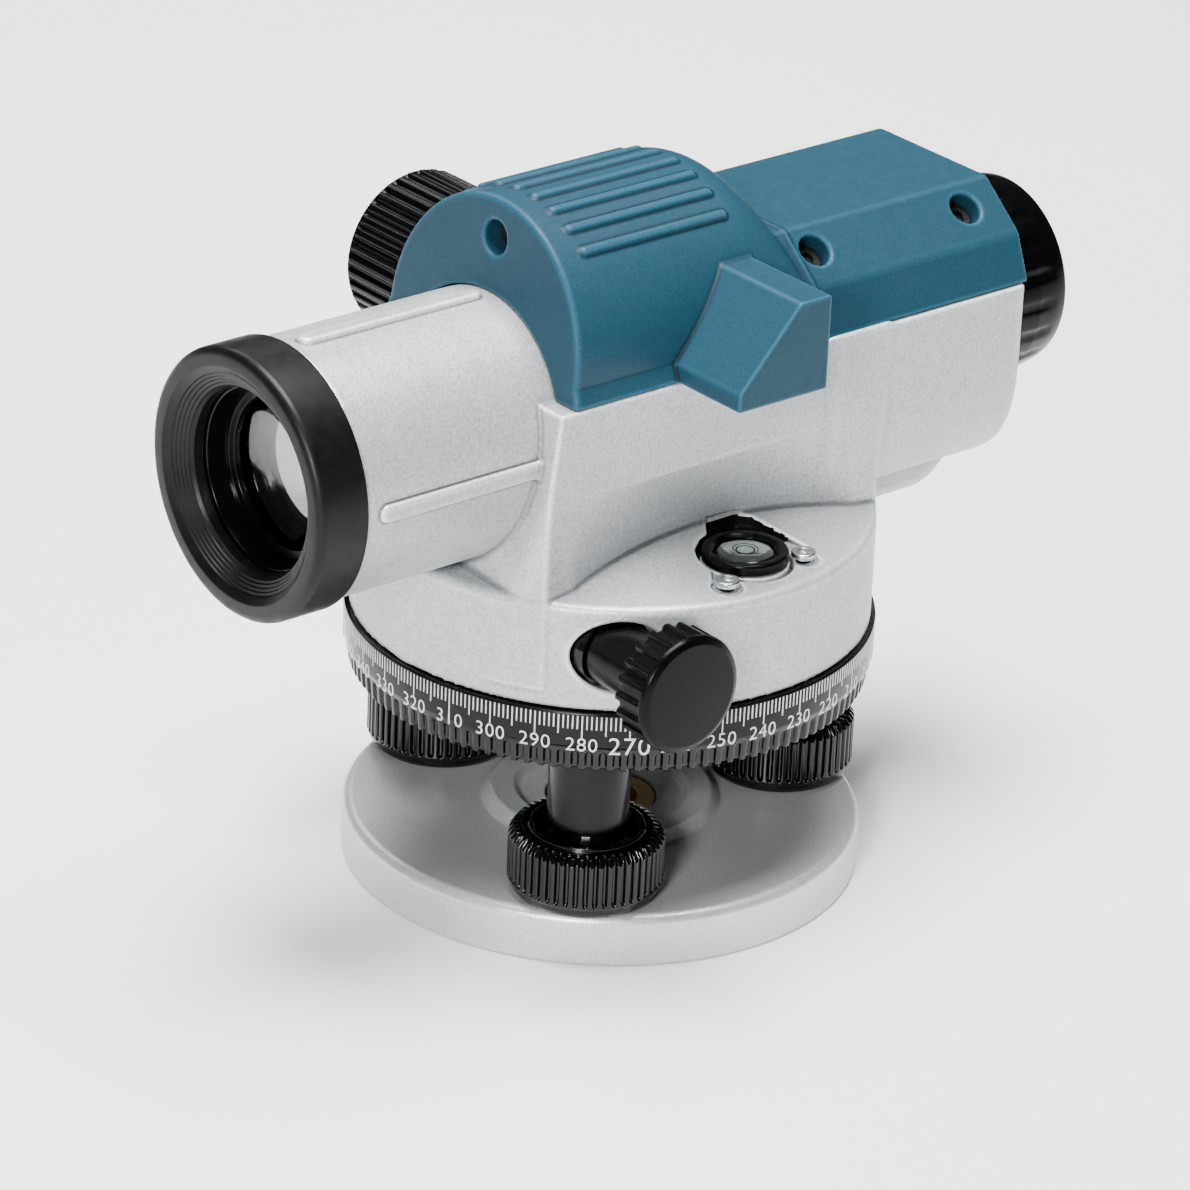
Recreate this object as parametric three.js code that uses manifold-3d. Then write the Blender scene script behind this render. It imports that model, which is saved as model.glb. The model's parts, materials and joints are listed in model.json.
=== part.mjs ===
// Automatic level: an optical surveying instrument on a three-screw levelling base.
//
// Millimetres, +Z up. The telescope looks along -Y, its eyepiece is at +Y, and the circular vial is
// on the +X side. Inside this file the vertical axis is the line x = 0, y = 0 and the base plate
// stands on z = 0. The exported group then moves everything by AXIS_Y, so that the origin is the
// centre of the bounding box at the underside.

import * as THREE from "three";
import { mergeVertices } from "three/addons/utils/BufferGeometryUtils.js";
import Module from "manifold-3d";

const wasm = await Module();
wasm.setup();

// ---------------------------------------------------------------- driving dimensions

const GAP = 0.3; // clearance between touching pieces

const BASE_R = 55.3;
const BASE_H = 11.6;
const BOSS_R = 23.5;
const BASE_HUB_R = 17;
const BASE_ROOF_Z = 5.4; // ceiling of the hollow underside
const THREAD_R = 7.9; // 5/8 inch tripod thread

const FOOT_ANGLES = [-44, 76, 196];
const FOOT_CIRCLE_R = 42;
const FOOT_KNOB_R = 16.3;
const FOOT_KNOB_Z = [12, 26];
const FOOT_POST_R = 8.5;

const HEAD_Z = 46; // underside of the levelling head's disc
const HUB_R = 13.8;
const HUB_TOP = 74.6;
const SPINDLE_R = 7;
const SLEEVE_R = 11.4; // sleeve below the levelling head, round the spindle

const CIRCLE_R = 56; // graduated circle
const CIRCLE_Z = [44.8, 58.2];

const DRUM_R = 54.9;
const DRUM_Z = [58.5, 81.2];
const DRUM_SLOPE = 0.157; // rise of the drum's conical top towards the middle
const CAVITY_R = 49;
const ROOF_Z = 77;

const WAIST_Z = 102.4;
const BODY_HALF = 32.5; // half width of the telescope body
const BODY_DROP = 31.4; // telescope axis down to the underside of the rear barrel
const BODY_POWER = 3.3; // squareness of the rear barrel's section
const BODY_REAR = 84.4;

const TEL_Z = 108.9; // telescope axis
const TUBE_R = 27.1;
const TUBE_FRONT = -92;
const BORE_R = 22;
const HOOD_R = 28.3;
const HOOD_Y = [-98.8, -86.8];

const COVER_Z = 121.4; // lower edge of the top cover
const COVER_WALL = 2.2;
const HUMP_R = 30.2;
const HUMP_Z = 125.4;
const BOX_REAR = 85.1;
const BOX_EDGE = [27.6, 131.5]; // lower edge of the box's bevel, half width and height
const BOX_TOP = [16.7, 140.6]; // upper edge of the bevel
const RIB_ANGLES = [-38.5, -27.5, -16.5, -5.5, 5.5, 16.5, 27.5, 38.5];

const DRIVE_Y = -32.8; // tangent drive, along X
const DRIVE_Z = 70.5;
const DRIVE_KNOB_R = 12.6;
const DRIVE_KNOB_X = [55.4, 65];
const DRIVE_NECK_R = 7;
const DRIVE_HOLE_R = 7.9; // where the necks pass through the drum
const WORM_R = 3.6;
const WHEEL_TEETH = 40;

const FOCUS_Y = -12;
const FOCUS_Z = 121.6;
const FOCUS_KNOB_R = 17.6;
const FOCUS_KNOB_X = [-56, -36.5];
const PINION_R = 3;

const EYE_R = 21.9;
const EYE_Y = [85.9, 108.4];

const VIAL = { x: 40.4, y: 1.2, r: 9, z: 82.2 }; // circular vial, z is its floor
const VIAL_SCREWS = [[47.9, -10], [46.4, 11.8]];

// The bounding box runs from the front of the hood to the rear of the eyepiece.
const AXIS_Y = -(HOOD_Y[0] + EYE_Y[1]) / 2;

const paint = (color, roughness, metalness) => ({ color, roughness, metalness });
const SILVER = paint(0xbfc3c4, 0.45, 0.35);
const TEAL = paint(0x2a6478, 0.5, 0);
const BLACK = paint(0x121314, 0.5, 0);
const STEEL = paint(0xa8abad, 0.3, 1);
const DARK_STEEL = paint(0x2a2b2d, 0.45, 0.9);
const BRASS = paint(0xb8944a, 0.35, 1);
const GLASS = paint(0xcfe3e6, 0.05, 0);

// ---------------------------------------------------------------- solids

const model = new THREE.Group();
model.position.y = AXIS_Y;

// Drops flat triangles and turns the faces outwards.
function closed(geometry) {
  for (const name of Object.keys(geometry.attributes)) {
    if (name !== "position") geometry.deleteAttribute(name);
  }
  const merged = mergeVertices(geometry, 1e-4);
  const old = merged.index.array;
  const kept = [];
  for (let i = 0; i < old.length; i += 3) {
    const [a, b, c] = [old[i], old[i + 1], old[i + 2]];
    if (a !== b && b !== c && c !== a) kept.push(a, b, c);
  }
  const p = merged.attributes.position;
  const [va, vb, vc] = [new THREE.Vector3(), new THREE.Vector3(), new THREE.Vector3()];
  let volume = 0;
  for (let i = 0; i < kept.length; i += 3) {
    va.fromBufferAttribute(p, kept[i]);
    vb.fromBufferAttribute(p, kept[i + 1]);
    vc.fromBufferAttribute(p, kept[i + 2]);
    volume += va.dot(vb.cross(vc));
  }
  if (volume < 0) kept.reverse();
  merged.setIndex(kept);
  return merged;
}

function solid(geometry) {
  const g = closed(geometry);
  return new wasm.Manifold(
    new wasm.Mesh({
      numProp: 3,
      vertProperties: new Float32Array(g.attributes.position.array),
      triVerts: new Uint32Array(g.index.array),
    }),
  );
}

function geometryOf(manifold) {
  const mesh = manifold.getMesh();
  const g = new THREE.BufferGeometry();
  g.setAttribute("position", new THREE.BufferAttribute(new Float32Array(mesh.vertProperties), 3));
  g.setIndex([...mesh.triVerts]);
  return g;
}

// A body of revolution. The profile lists [radius, height] and starts and ends on the axis,
// or closes on itself. The axis is "x", "y" or "z" through the point at.
function turned(profile, axis = "z", at = [0, 0, 0], segments = 24) {
  const points = profile.map(([r, h]) => new THREE.Vector2(r, h));
  if (profile[0][0] > 0) points.push(points[0].clone());
  const g = new THREE.LatheGeometry(points, segments);
  if (axis === "z") g.rotateX(Math.PI / 2);
  if (axis === "x") g.rotateZ(-Math.PI / 2);
  g.translate(...at);
  return solid(g);
}

const rod = (r, h0, h1, axis, at, segments) =>
  turned([[0, h0], [r, h0], [r, h1], [0, h1]], axis, at, segments);

const sleeve = (inner, outer, h0, h1, axis, at, segments) =>
  turned([[inner, h0], [outer, h0], [outer, h1], [inner, h1]], axis, at, segments);

// A closed skin over sections that all have the same number of [x, y, z] points.
function loft(sections) {
  const count = sections[0].length;
  const positions = sections.flat(2);
  const index = [];
  for (let s = 0; s + 1 < sections.length; s += 1) {
    for (let i = 0; i < count; i += 1) {
      const j = (i + 1) % count;
      const [a, b] = [s * count + i, s * count + j];
      index.push(a, b, b + count, a, b + count, a + count);
    }
  }
  const flat = (section) => {
    const normal = new THREE.Vector3();
    section.forEach((p, i) => {
      const q = section[(i + 1) % count];
      normal.x += (p[1] - q[1]) * (p[2] + q[2]);
      normal.y += (p[2] - q[2]) * (p[0] + q[0]);
      normal.z += (p[0] - q[0]) * (p[1] + q[1]);
    });
    const turn = new THREE.Quaternion().setFromUnitVectors(normal.normalize(), new THREE.Vector3(0, 0, 1));
    const points = section.map((p) => new THREE.Vector3(...p).applyQuaternion(turn));
    return THREE.ShapeUtils.triangulateShape(points.map((p) => new THREE.Vector2(p.x, p.y)), []);
  };
  for (const [a, b, c] of flat(sections[0])) index.push(a, c, b);
  const last = (sections.length - 1) * count;
  for (const [a, b, c] of flat(sections[sections.length - 1])) index.push(last + a, last + b, last + c);
  const g = new THREE.BufferGeometry();
  g.setAttribute("position", new THREE.Float32BufferAttribute(positions, 3));
  g.setIndex(index);
  return solid(g);
}

const prismX = (yz, x0, x1) => loft([x0, x1].map((x) => yz.map(([y, z]) => [x, y, z])));
const prismY = (xz, y0, y1) => loft([y0, y1].map((y) => xz.map(([x, z]) => [x, y, z])));
const prismZ = (xy, z0, z1) => loft([z0, z1].map((z) => xy.map(([x, y]) => [x, y, z])));

function block(x0, x1, y0, y1, z0, z1) {
  return prismZ([[x0, y0], [x1, y0], [x1, y1], [x0, y1]], z0, z1);
}

const polar = (r, degrees) => {
  const a = THREE.MathUtils.degToRad(degrees);
  return [r * Math.cos(a), r * Math.sin(a)];
};

// Outline whose radius steps in and out count times, as on a knurled knob or a gear.
const toothed = (r, depth, count) =>
  Array.from({ length: count * 2 }, (_, i) => polar(r - depth * (i % 2), (180 * i) / count));

// A ribbed knob along Z between two heights, with both rims bevelled.
function ribbedKnob(r, depth, ribs, [low, high], bevel) {
  const outline = (radius, z) => toothed(radius, depth, ribs).map(([x, y]) => [x, y, z]);
  return loft([
    outline(r - bevel, low), outline(r, low + bevel * 0.6), outline(r, high - bevel * 0.6), outline(r - bevel, high),
  ]);
}

function add(name, manifold, look) {
  const mesh = new THREE.Mesh(geometryOf(manifold), new THREE.MeshStandardMaterial(look));
  mesh.name = name;
  model.add(mesh);
}

// ---------------------------------------------------------------- base

// Round plate, hollow underneath between its rim and its hub.
function basePlate() {
  const edge = 2;
  const plate = turned([
    [THREAD_R + 4, 0], [BASE_HUB_R, 0], [BASE_HUB_R, BASE_ROOF_Z], [BASE_R - 4.5, BASE_ROOF_Z], [BASE_R - 4.5, 0],
    [BASE_R - 1, 0], [BASE_R, 1], [BASE_R, BASE_H - edge],
    [BASE_R - edge * 0.3, BASE_H - edge * 0.3], [BASE_R - edge, BASE_H],
    [BOSS_R + 1, BASE_H], [BOSS_R, BASE_H + 2.6], [BOSS_R - 4.5, BASE_H + 2.6],
    [BOSS_R - 5.5, BASE_H + 0.6], [THREAD_R + 4, BASE_H + 0.6],
  ], "z", [0, 0, 0], 44);
  return FOOT_ANGLES.reduce((result, angle) => {
    const [x, y] = polar(FOOT_CIRCLE_R, angle);
    return result.subtract(rod(4.2, BASE_ROOF_Z - 1, BASE_H + 1, "z", [x, y, 0], 12));
  }, plate);
}

// The leaf spring under the plate that holds the three ball ends in their sockets.
function springPlate() {
  const z = [BASE_ROOF_Z - GAP - 0.9, BASE_ROOF_Z - GAP];
  let plate = sleeve(BOSS_R + 2, BOSS_R + 11, ...z, "z");
  for (const angle of FOOT_ANGLES) {
    const [x, y] = polar(FOOT_CIRCLE_R, angle);
    plate = plate.add(rod(8, ...z, "z", [x, y, 0], 16));
  }
  for (const angle of FOOT_ANGLES) {
    const [x, y] = polar(FOOT_CIRCLE_R, angle);
    plate = plate.subtract(rod(3.5, z[0] - 1, z[1] + 1, "z", [x, y, 0], 12));
  }
  return plate;
}

function levellingHead() {
  const discR = CIRCLE_R - 4.5;
  let head = turned([
    [SPINDLE_R + 1.9, HEAD_Z], [discR, HEAD_Z], [discR, HEAD_Z + 3.6],
    [HUB_R + 4, HEAD_Z + 3.6], [HUB_R, HEAD_Z + 8], [HUB_R, HUB_TOP], [SPINDLE_R + 1.9, HUB_TOP],
  ], "z", [0, 0, 0], 48);
  head = head.add(sleeve(SPINDLE_R + 1.9, SLEEVE_R, HEAD_Z - 12, HEAD_Z + 1, "z", [0, 0, 0], 48));
  for (const angle of FOOT_ANGLES) {
    const [x, y] = polar(FOOT_CIRCLE_R, angle);
    head = head.add(rod(FOOT_POST_R, FOOT_KNOB_Z[1] + 1.4, HEAD_Z + 1, "z", [x, y, 0], 24));
  }
  for (const angle of FOOT_ANGLES) {
    const [x, y] = polar(FOOT_CIRCLE_R, angle);
    head = head.subtract(rod(5.3, FOOT_KNOB_Z[1], HEAD_Z + 5, "z", [x, y, 0], 16));
  }
  return head;
}

function footKnob(x, y) {
  const grip = ribbedKnob(FOOT_KNOB_R, 0.8, 26, FOOT_KNOB_Z, 1.6);
  const dish = rod(11.6, FOOT_KNOB_Z[1] - 1, FOOT_KNOB_Z[1] + 1);
  const bore = rod(3.2 + GAP, 0, 40, "z", [0, 0, 0], 12);
  return grip.subtract(dish).subtract(bore).translate([x, y, 0]);
}

// Threaded stem with the ball end that stands in the base plate's socket.
function footStem(x, y) {
  return turned([
    [0, BASE_H - 5.6], [2.2, BASE_H - 4.9], [3.1, BASE_H - 2.8], [2.2, BASE_H - 0.6],
    [3.2, BASE_H + 2], [3.2, FOOT_KNOB_Z[1] + 1], [3.9, FOOT_KNOB_Z[1] + 2], [3.9, HEAD_Z + 1.5],
    [0, HEAD_Z + 1.5],
  ], "z", [x, y, 0], 12);
}

function base() {
  add("base_plate", basePlate(), SILVER);
  const bushOuter = THREAD_R + 4 - GAP;
  add("tripod_thread_bush", sleeve(THREAD_R, bushOuter, 0.5, BASE_H, "z"), BRASS);
  add("foot_spring_plate", springPlate(), DARK_STEEL);
  add("levelling_head", levellingHead(), BLACK);
  FOOT_ANGLES.forEach((angle, i) => {
    const [x, y] = polar(FOOT_CIRCLE_R, angle);
    const nut = sleeve(4.2, 5, FOOT_KNOB_Z[1] + 3, HEAD_Z + 3, "z", [x, y, 0], 16);
    add(`foot_nut_${i + 1}`, nut, BRASS);
    add(`foot_knob_${i + 1}`, footKnob(x, y), BLACK);
    add(`foot_stem_${i + 1}`, footStem(x, y), STEEL);
  });
}

// ---------------------------------------------------------------- circle and vertical axis

function verticalAxis() {
  const inner = CIRCLE_R - 4.2;
  const circle = turned([
    [inner, CIRCLE_Z[0]], [CIRCLE_R - 1.6, CIRCLE_Z[0]], [CIRCLE_R - 1.2, CIRCLE_Z[0] + 5],
    [CIRCLE_R - 0.4, CIRCLE_Z[0] + 5.5], [CIRCLE_R, CIRCLE_Z[1]], [HUB_R + 26, CIRCLE_Z[1]],
    [HUB_R + 26, CIRCLE_Z[1] - 2], [inner, CIRCLE_Z[1] - 2],
  ], "z", [0, 0, 0], 64);
  add("horizontal_circle", circle, BLACK);

  const wheelR = -DRIVE_Y - WORM_R - GAP;
  const wheel = prismZ(toothed(wheelR, 1, WHEEL_TEETH), DRIVE_Z - 3, DRIVE_Z + 3);
  const bore = rod(HUB_R + 2.2, DRIVE_Z - 5, DRIVE_Z + 5, "z");
  add("worm_wheel", wheel.subtract(bore), BRASS);
  add("clutch_ring", sleeve(HUB_R + GAP, HUB_R + 1.9, DRIVE_Z - 2.4, DRIVE_Z + 2.4, "z"), DARK_STEEL);

  add("hub_bush", sleeve(SPINDLE_R + GAP, SPINDLE_R + 1.6, HEAD_Z - 10, HUB_TOP, "z"), BRASS);
  const spindle = turned([
    [0, HEAD_Z - 11], [SPINDLE_R - 1, HEAD_Z - 11], [SPINDLE_R, HEAD_Z - 10],
    [SPINDLE_R, HUB_TOP + GAP], [19, HUB_TOP + GAP], [19, ROOF_Z - GAP], [0, ROOF_Z - GAP],
  ], "z");
  add("spindle", spindle, STEEL);
}

// ---------------------------------------------------------------- housing

// Section of the telescope body in x and z: a squarish oval, cut off flat at the cover's edge.
function bodySection(bottomZ) {
  const points = [];
  const steps = 22;
  for (let i = 0; i <= steps; i += 1) {
    const a = Math.PI * (1 + i / steps);
    const [c, s] = [Math.cos(a), Math.sin(a)];
    const x = Math.sign(c) * Math.abs(c) ** (2 / BODY_POWER) * BODY_HALF;
    const z = TEL_Z - Math.abs(s) ** (2 / BODY_POWER) * BODY_DROP;
    points.push([x, Math.max(z, bottomZ)]);
  }
  points.push([BODY_HALF - 1, COVER_Z - GAP], [1 - BODY_HALF, COVER_Z - GAP]);
  return points;
}

// The concave waist between the drum and the telescope body. Its walls flare at both ends.
function pedestal() {
  const half = DRUM_R + 2;
  const top = BODY_HALF - 0.5;
  const sections = [];
  const steps = 14;
  for (let i = 0; i <= steps; i += 1) {
    const y = -half + (2 * half * i) / steps;
    const foot = 25.5 + 9.5 * (y / 45) ** 2;
    const low = top + (foot - top) * 1.4;
    const right = [[low, 76.4], [top, WAIST_Z], [top, TEL_Z]];
    const left = right.map(([x, z]) => [-x, z]).reverse();
    sections.push([...right, ...left].map(([x, z]) => [x, y, z]));
  }
  return loft(sections).intersect(rod(DRUM_R, 60, 130, "z", [0, 0, 0], 64));
}

function drum() {
  return turned([
    [0, DRUM_Z[0]], [DRUM_R, DRUM_Z[0]], [DRUM_R, DRUM_Z[1] - 0.8], [DRUM_R - 0.8, DRUM_Z[1]],
    [0, DRUM_Z[1] + DRUM_R * DRUM_SLOPE],
  ], "z", [0, 0, 0], 64);
}

// Level floor for the circular vial, fan-shaped and open to the rim.
function vialPocket() {
  const outline = [[26.8, 10], [26.8, 2], [46, -12.2], [62, -17], [62, 19], [45.5, 15.8], [30, 13.6]];
  const round = rod(VIAL.r + 2 * GAP, VIAL.z, VIAL.z + 7, "z", [VIAL.x, VIAL.y, 0], 28);
  return prismZ(outline, VIAL.z, VIAL.z + 3.5).add(round);
}

function tubeRibs() {
  return [0, 90, 180, 270].map((angle) => {
    const rib = block(-1.9, 1.9, -83.5, -38.5, TUBE_R - 1, TUBE_R + 1.1);
    return rib.rotate([0, angle, 0]).translate([0, 0, TEL_Z]);
  });
}

// Round boss for the focusing knob. Its upper half belongs to the cover, its lower to the housing.
function focusBoss() {
  return rod(FOCUS_KNOB_R - 1.4, FOCUS_KNOB_X[1] + 0.7, -22, "x", [0, FOCUS_Y, FOCUS_Z], 40);
}

// Keel under the rear barrel, rounded at its rear end.
const KEEL = [[40, 71.2], [72, 71.2], [77, 73], [81, 77.5], [82, 84], [40, 84]];

function housing() {
  const axis = [0, 0, TEL_Z];
  const slopeFront = prismX([
    [-41.3, COVER_Z + 1], [-44.6, WAIST_Z - 1], [BODY_REAR, WAIST_Z - 1], [BODY_REAR, COVER_Z + 1],
  ], -60, 60);
  let body = drum().add(pedestal());
  body = body.add(prismY(bodySection(WAIST_Z), -60, BODY_REAR).intersect(slopeFront));
  body = body.add(prismY(bodySection(0), 44, BODY_REAR));
  body = body.add(prismX(KEEL, -16, 16));
  body = body.add(rod(TUBE_R, TUBE_FRONT, 10, "y", axis, 48));
  for (const rib of tubeRibs()) body = body.add(rib);
  body = body.add(focusBoss().subtract(block(-60, 60, -60, 60, COVER_Z - GAP, 200)));

  const tubeNose = rod(TUBE_R - 1.6, TUBE_FRONT - 2, HOOD_Y[1] + 1, "y", axis, 48);
  const hoodSeat = rod(TUBE_R + 4, TUBE_FRONT - 1, HOOD_Y[1] + GAP, "y", axis, 48);
  body = body.subtract(hoodSeat.subtract(tubeNose));
  body = body.subtract(rod(BORE_R, TUBE_FRONT - 1, BODY_REAR + 1, "y", axis, 36));
  body = body.subtract(block(-23, 23, -6, 72, TEL_Z - 19, COVER_Z + 20));
  body = body.subtract(rod(CAVITY_R, DRUM_Z[0] - 1, ROOF_Z, "z", [0, 0, 0], 48));
  body = body.subtract(rod(DRIVE_HOLE_R, -80, 80, "x", [0, DRIVE_Y, DRIVE_Z], 28));
  body = body.subtract(rod(8, -60, -15, "x", [0, FOCUS_Y, FOCUS_Z], 32));
  body = body.subtract(vialPocket());
  for (const [x, y] of VIAL_SCREWS) body = body.subtract(rod(1.6, 70, 90, "z", [x, y, 0], 16));
  return body;
}

// ---------------------------------------------------------------- top cover

// Arch of the hump at one y. The front of the hump leans back towards its top.
function humpSection(y, height, inset, lean) {
  const half = BODY_HALF - 0.9 - inset;
  const points = [[half, COVER_Z - inset]];
  const steps = 20;
  for (let i = 0; i <= steps; i += 1) {
    const a = (Math.PI * i) / steps;
    points.push([(HUMP_R - inset) * Math.cos(a), HUMP_Z + (height - inset) * Math.sin(a)]);
  }
  points.push([-half, COVER_Z - inset]);
  return points.map(([x, z]) => [x, y - lean * (HUMP_Z + HUMP_R - z), z]);
}

// Arched hump over the focusing and compensator chamber. Its rear end rounds down to the box.
function hump(inset) {
  const lean = 0.12;
  const front = -33.8 + inset;
  const roundLength = 18;
  const sections = [
    humpSection(front, HUMP_R - 0.8, inset + 0.8, lean),
    humpSection(front + 0.8, HUMP_R, inset, lean),
  ];
  for (let i = 0; i <= 4; i += 1) {
    const t = (i / 4) * 0.93;
    sections.push(humpSection(10 + roundLength * t, HUMP_R * Math.sqrt(1 - t * t), inset, 0));
  }
  return loft(sections);
}

function coverBox(inset) {
  const right = [
    [BODY_HALF - 0.9 - inset, COVER_Z - inset], [BOX_EDGE[0] - inset, BOX_EDGE[1] - inset * 0.3],
    [BOX_TOP[0] - inset * 0.5, BOX_TOP[1] - inset],
  ];
  const left = right.map(([x, z]) => [-x, z]).reverse();
  return prismY([...right, ...left], 4, BOX_REAR - inset);
}

// Wedge that carries the mirror over the circular vial, open below and to the rear.
function mirrorWedge() {
  const profile = [[-11.6, COVER_Z], [-11.6, 125.3], [3.5, 141.7], [11.6, 141.7], [11.6, COVER_Z]];
  return prismX(profile, 20, 50.6);
}

function mirrorSpace() {
  const profile = [[-9.6, 100], [-9.6, 124.5], [4.4, 139.7], [30, 139.7], [30, 100]];
  return prismX(profile, 33.6, 48.8);
}

// Cover screws sit in round holes: two in each bevel of the box and one in the front of the hump.
const BEVEL_TILT = THREE.MathUtils.radToDeg(Math.atan2(BOX_TOP[1] - BOX_EDGE[1], BOX_EDGE[0] - BOX_TOP[0]));
const SCREW_SITES = [
  ...[[33, 1], [75, 1], [33, -1], [75, -1]].map(([y, side]) => ({
    at: [21.3 * side, y, 136.8],
    turn: [0, side * BEVEL_TILT, 0],
  })),
  { at: [0, -34.4, 147.4], turn: [90, 0, 0] },
];

const alongScrew = (manifold, { at, turn }) => manifold.rotate(turn).translate(at);

function coverScrew(site) {
  const screw = turned([
    [0, -12.5], [1.4, -12.5], [1.4, -5.7], [3.1, -5.7], [3.1, -3.6], [1.6, -3.6], [1.6, -4.6], [0, -4.6],
  ], "z", [0, 0, 0], 12);
  return alongScrew(screw, site);
}

function cover() {
  const outer = hump(0).add(coverBox(0));
  let shell = outer.add(mirrorWedge());
  for (const angle of RIB_ANGLES) {
    const rib = block(-0.9, 0.9, -28, 10, HUMP_R - 2, HUMP_R + 0.8);
    shell = shell.add(rib.rotate([0, angle, 0]).translate([0, 0, HUMP_Z]));
  }
  shell = shell.add(focusBoss().subtract(block(-60, 60, -60, 60, 0, COVER_Z)));
  shell = shell.subtract(hump(COVER_WALL)).subtract(coverBox(COVER_WALL));
  for (const site of SCREW_SITES) {
    const post = alongScrew(rod(5.2, -11, 3, "z", [0, 0, 0], 20), site);
    shell = shell.add(post.intersect(outer));
  }
  for (const site of SCREW_SITES) {
    shell = shell.subtract(alongScrew(rod(3.6, -6, 9, "z", [0, 0, 0], 20), site));
    shell = shell.subtract(alongScrew(rod(1.7, -14, 0, "z", [0, 0, 0], 16), site));
  }
  shell = shell.subtract(mirrorSpace());
  shell = shell.subtract(rod(TUBE_R + GAP, -60, 4, "y", [0, 0, TEL_Z], 48));
  shell = shell.subtract(rod(BORE_R, 80, 90, "y", [0, 0, TEL_Z], 36));
  shell = shell.subtract(rod(8, -60, -10, "x", [0, FOCUS_Y, FOCUS_Z]));
  return shell.subtract(block(-60, 60, -60, 90, 0, COVER_Z));
}

// ---------------------------------------------------------------- telescope

function objective() {
  const axis = [0, 0, TEL_Z];
  const [front, rear] = HOOD_Y;
  const inner = TUBE_R - 1.6 + GAP;
  const hood = turned([
    [inner, rear], [HOOD_R, rear], [HOOD_R, front + 2.5], [HOOD_R - 0.7, front + 0.8], [HOOD_R - 2.2, front],
    [21, front + 0.4], [19.2, front + 1.4], [19.2, TUBE_FRONT - GAP], [inner, TUBE_FRONT - GAP],
  ], "y", axis, 40);
  add("objective_hood", hood, BLACK);
  const cell = turned([
    [18.4, TUBE_FRONT], [BORE_R - GAP, TUBE_FRONT], [BORE_R - GAP, -70], [16.2, -70],
    [16.2, -77], [18.2, -77], [18.2, -85.2], [17.2, -86],
  ], "y", axis, 24);
  add("objective_cell", cell, BLACK);
  const lens = turned([
    [0, -86.4], [6, -86.1], [11.5, -85.2], [16, -83.8], [17.9, -82.9], [17.9, -77.3], [15.8, -77.3], [8, -76.6],
    [0, -76.4],
  ], "y", axis, 20);
  add("objective_lens", lens, GLASS);
}

// The focusing lens slides along the bore. The pinion drives the rack on top of its carriage.
function focusing() {
  const axis = [0, 0, TEL_Z];
  const rackZ = FOCUS_Z + PINION_R + GAP;
  const ring = sleeve(11, BORE_R - GAP * 1.5, -44, -30, "y", axis, 24);
  const rack = block(-8, -1, -34, 8, rackZ, rackZ + 3);
  add("focusing_carriage", ring.add(rack), BRASS);
  const lens = turned([
    [0, -39], [6, -38.6], [10.7, -37.4], [10.7, -34], [6, -35], [0, -35.4],
  ], "y", axis, 16);
  add("focusing_lens", lens, GLASS);

  const at = [0, FOCUS_Y, FOCUS_Z];
  const teeth = prismX(toothed(PINION_R, 0.7, 12), -7.5, -1.5);
  const shaft = rod(1.6, FOCUS_KNOB_X[0] + 4, 0, "x", [0, 0, 0], 12);
  add("focus_pinion", teeth.add(shaft).translate(at), STEEL);
  add("focus_bush", sleeve(1.9, 7.7, FOCUS_KNOB_X[1] + 1, -22, "x", at), BRASS);
  const [out, inside] = FOCUS_KNOB_X;
  const grip = ribbedKnob(FOCUS_KNOB_R, 0.7, 30, FOCUS_KNOB_X, 1.4).rotate([0, 90, 0]);
  const hollow = sleeve(6, FOCUS_KNOB_R - 3.6, out + 5, inside + 1, "x");
  const bore = rod(1.9, out + 3.7, inside + 1, "x", [0, 0, 0], 12);
  add("focus_knob", grip.subtract(hollow).subtract(bore).translate(at), BLACK);
}

// Pendulum compensator: a prism swings in a fixed frame over a damping magnet.
function compensator() {
  const frame = block(-20, 20, 14, 46, 91, 93)
    .add(block(-20, -17.5, 14, 46, 92, 121.5))
    .add(block(17.5, 20, 14, 46, 92, 121.5))
    .add(block(-20, 20, 27, 33, 119.5, 121.5));
  add("compensator_frame", frame, DARK_STEEL);
  const pendulum = block(-12, 12, 22, 38, 115, 117)
    .add(block(-12, -10, 22, 38, 97, 116))
    .add(block(10, 12, 22, 38, 97, 116))
    .add(block(-12, 12, 22, 38, 97, 99));
  add("compensator_pendulum", pendulum, BRASS);
  const side = [[23, 99.4], [37, 99.4], [37, 106], [30, 113.5], [23, 106]];
  add("compensator_prism", prismX(side, -9.6, 9.6), GLASS);
  add("damping_magnet", rod(6, 93.4, 96, "z", [0, 30, 0], 24), DARK_STEEL);
}

function eyepiece() {
  const axis = [0, 0, TEL_Z];
  add("reticle_cell", sleeve(9, BORE_R - GAP, 73, 77, "y", axis), BRASS);
  add("reticle_glass", rod(8.7, 74, 75.4, "y", axis), GLASS);
  const tube = turned([
    [9.8, 77.6], [BORE_R - GAP, 77.6], [BORE_R - GAP, 84.1], [12, 84.1], [12, 101], [9.8, 101],
  ], "y", axis, 24);
  add("eyepiece_tube", tube, BLACK);
  const [front, rear] = EYE_Y;
  const ring = turned([
    [12.3, front], [19.8, front], [21.2, front + 4], [EYE_R, front + 13], [EYE_R - 0.3, front + 18],
    [EYE_R - 1.6, rear - 1.6], [EYE_R - 4, rear], [10.5, rear], [8, rear - 2.5], [8, rear - 6], [12.3, rear - 6],
  ], "y", axis, 32);
  add("eyepiece_ring", ring, BLACK);
  add("eyepiece_cell", sleeve(7, 9.5, 88, 100.4, "y", axis), BLACK);
  const lens = turned([[0, 94.2], [4, 94.5], [6.7, 95.4], [6.7, 98.6], [4, 99.5], [0, 99.8]], "y", axis, 16);
  add("eyepiece_lens", lens, GLASS);
}

// ---------------------------------------------------------------- drive and vial

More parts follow.
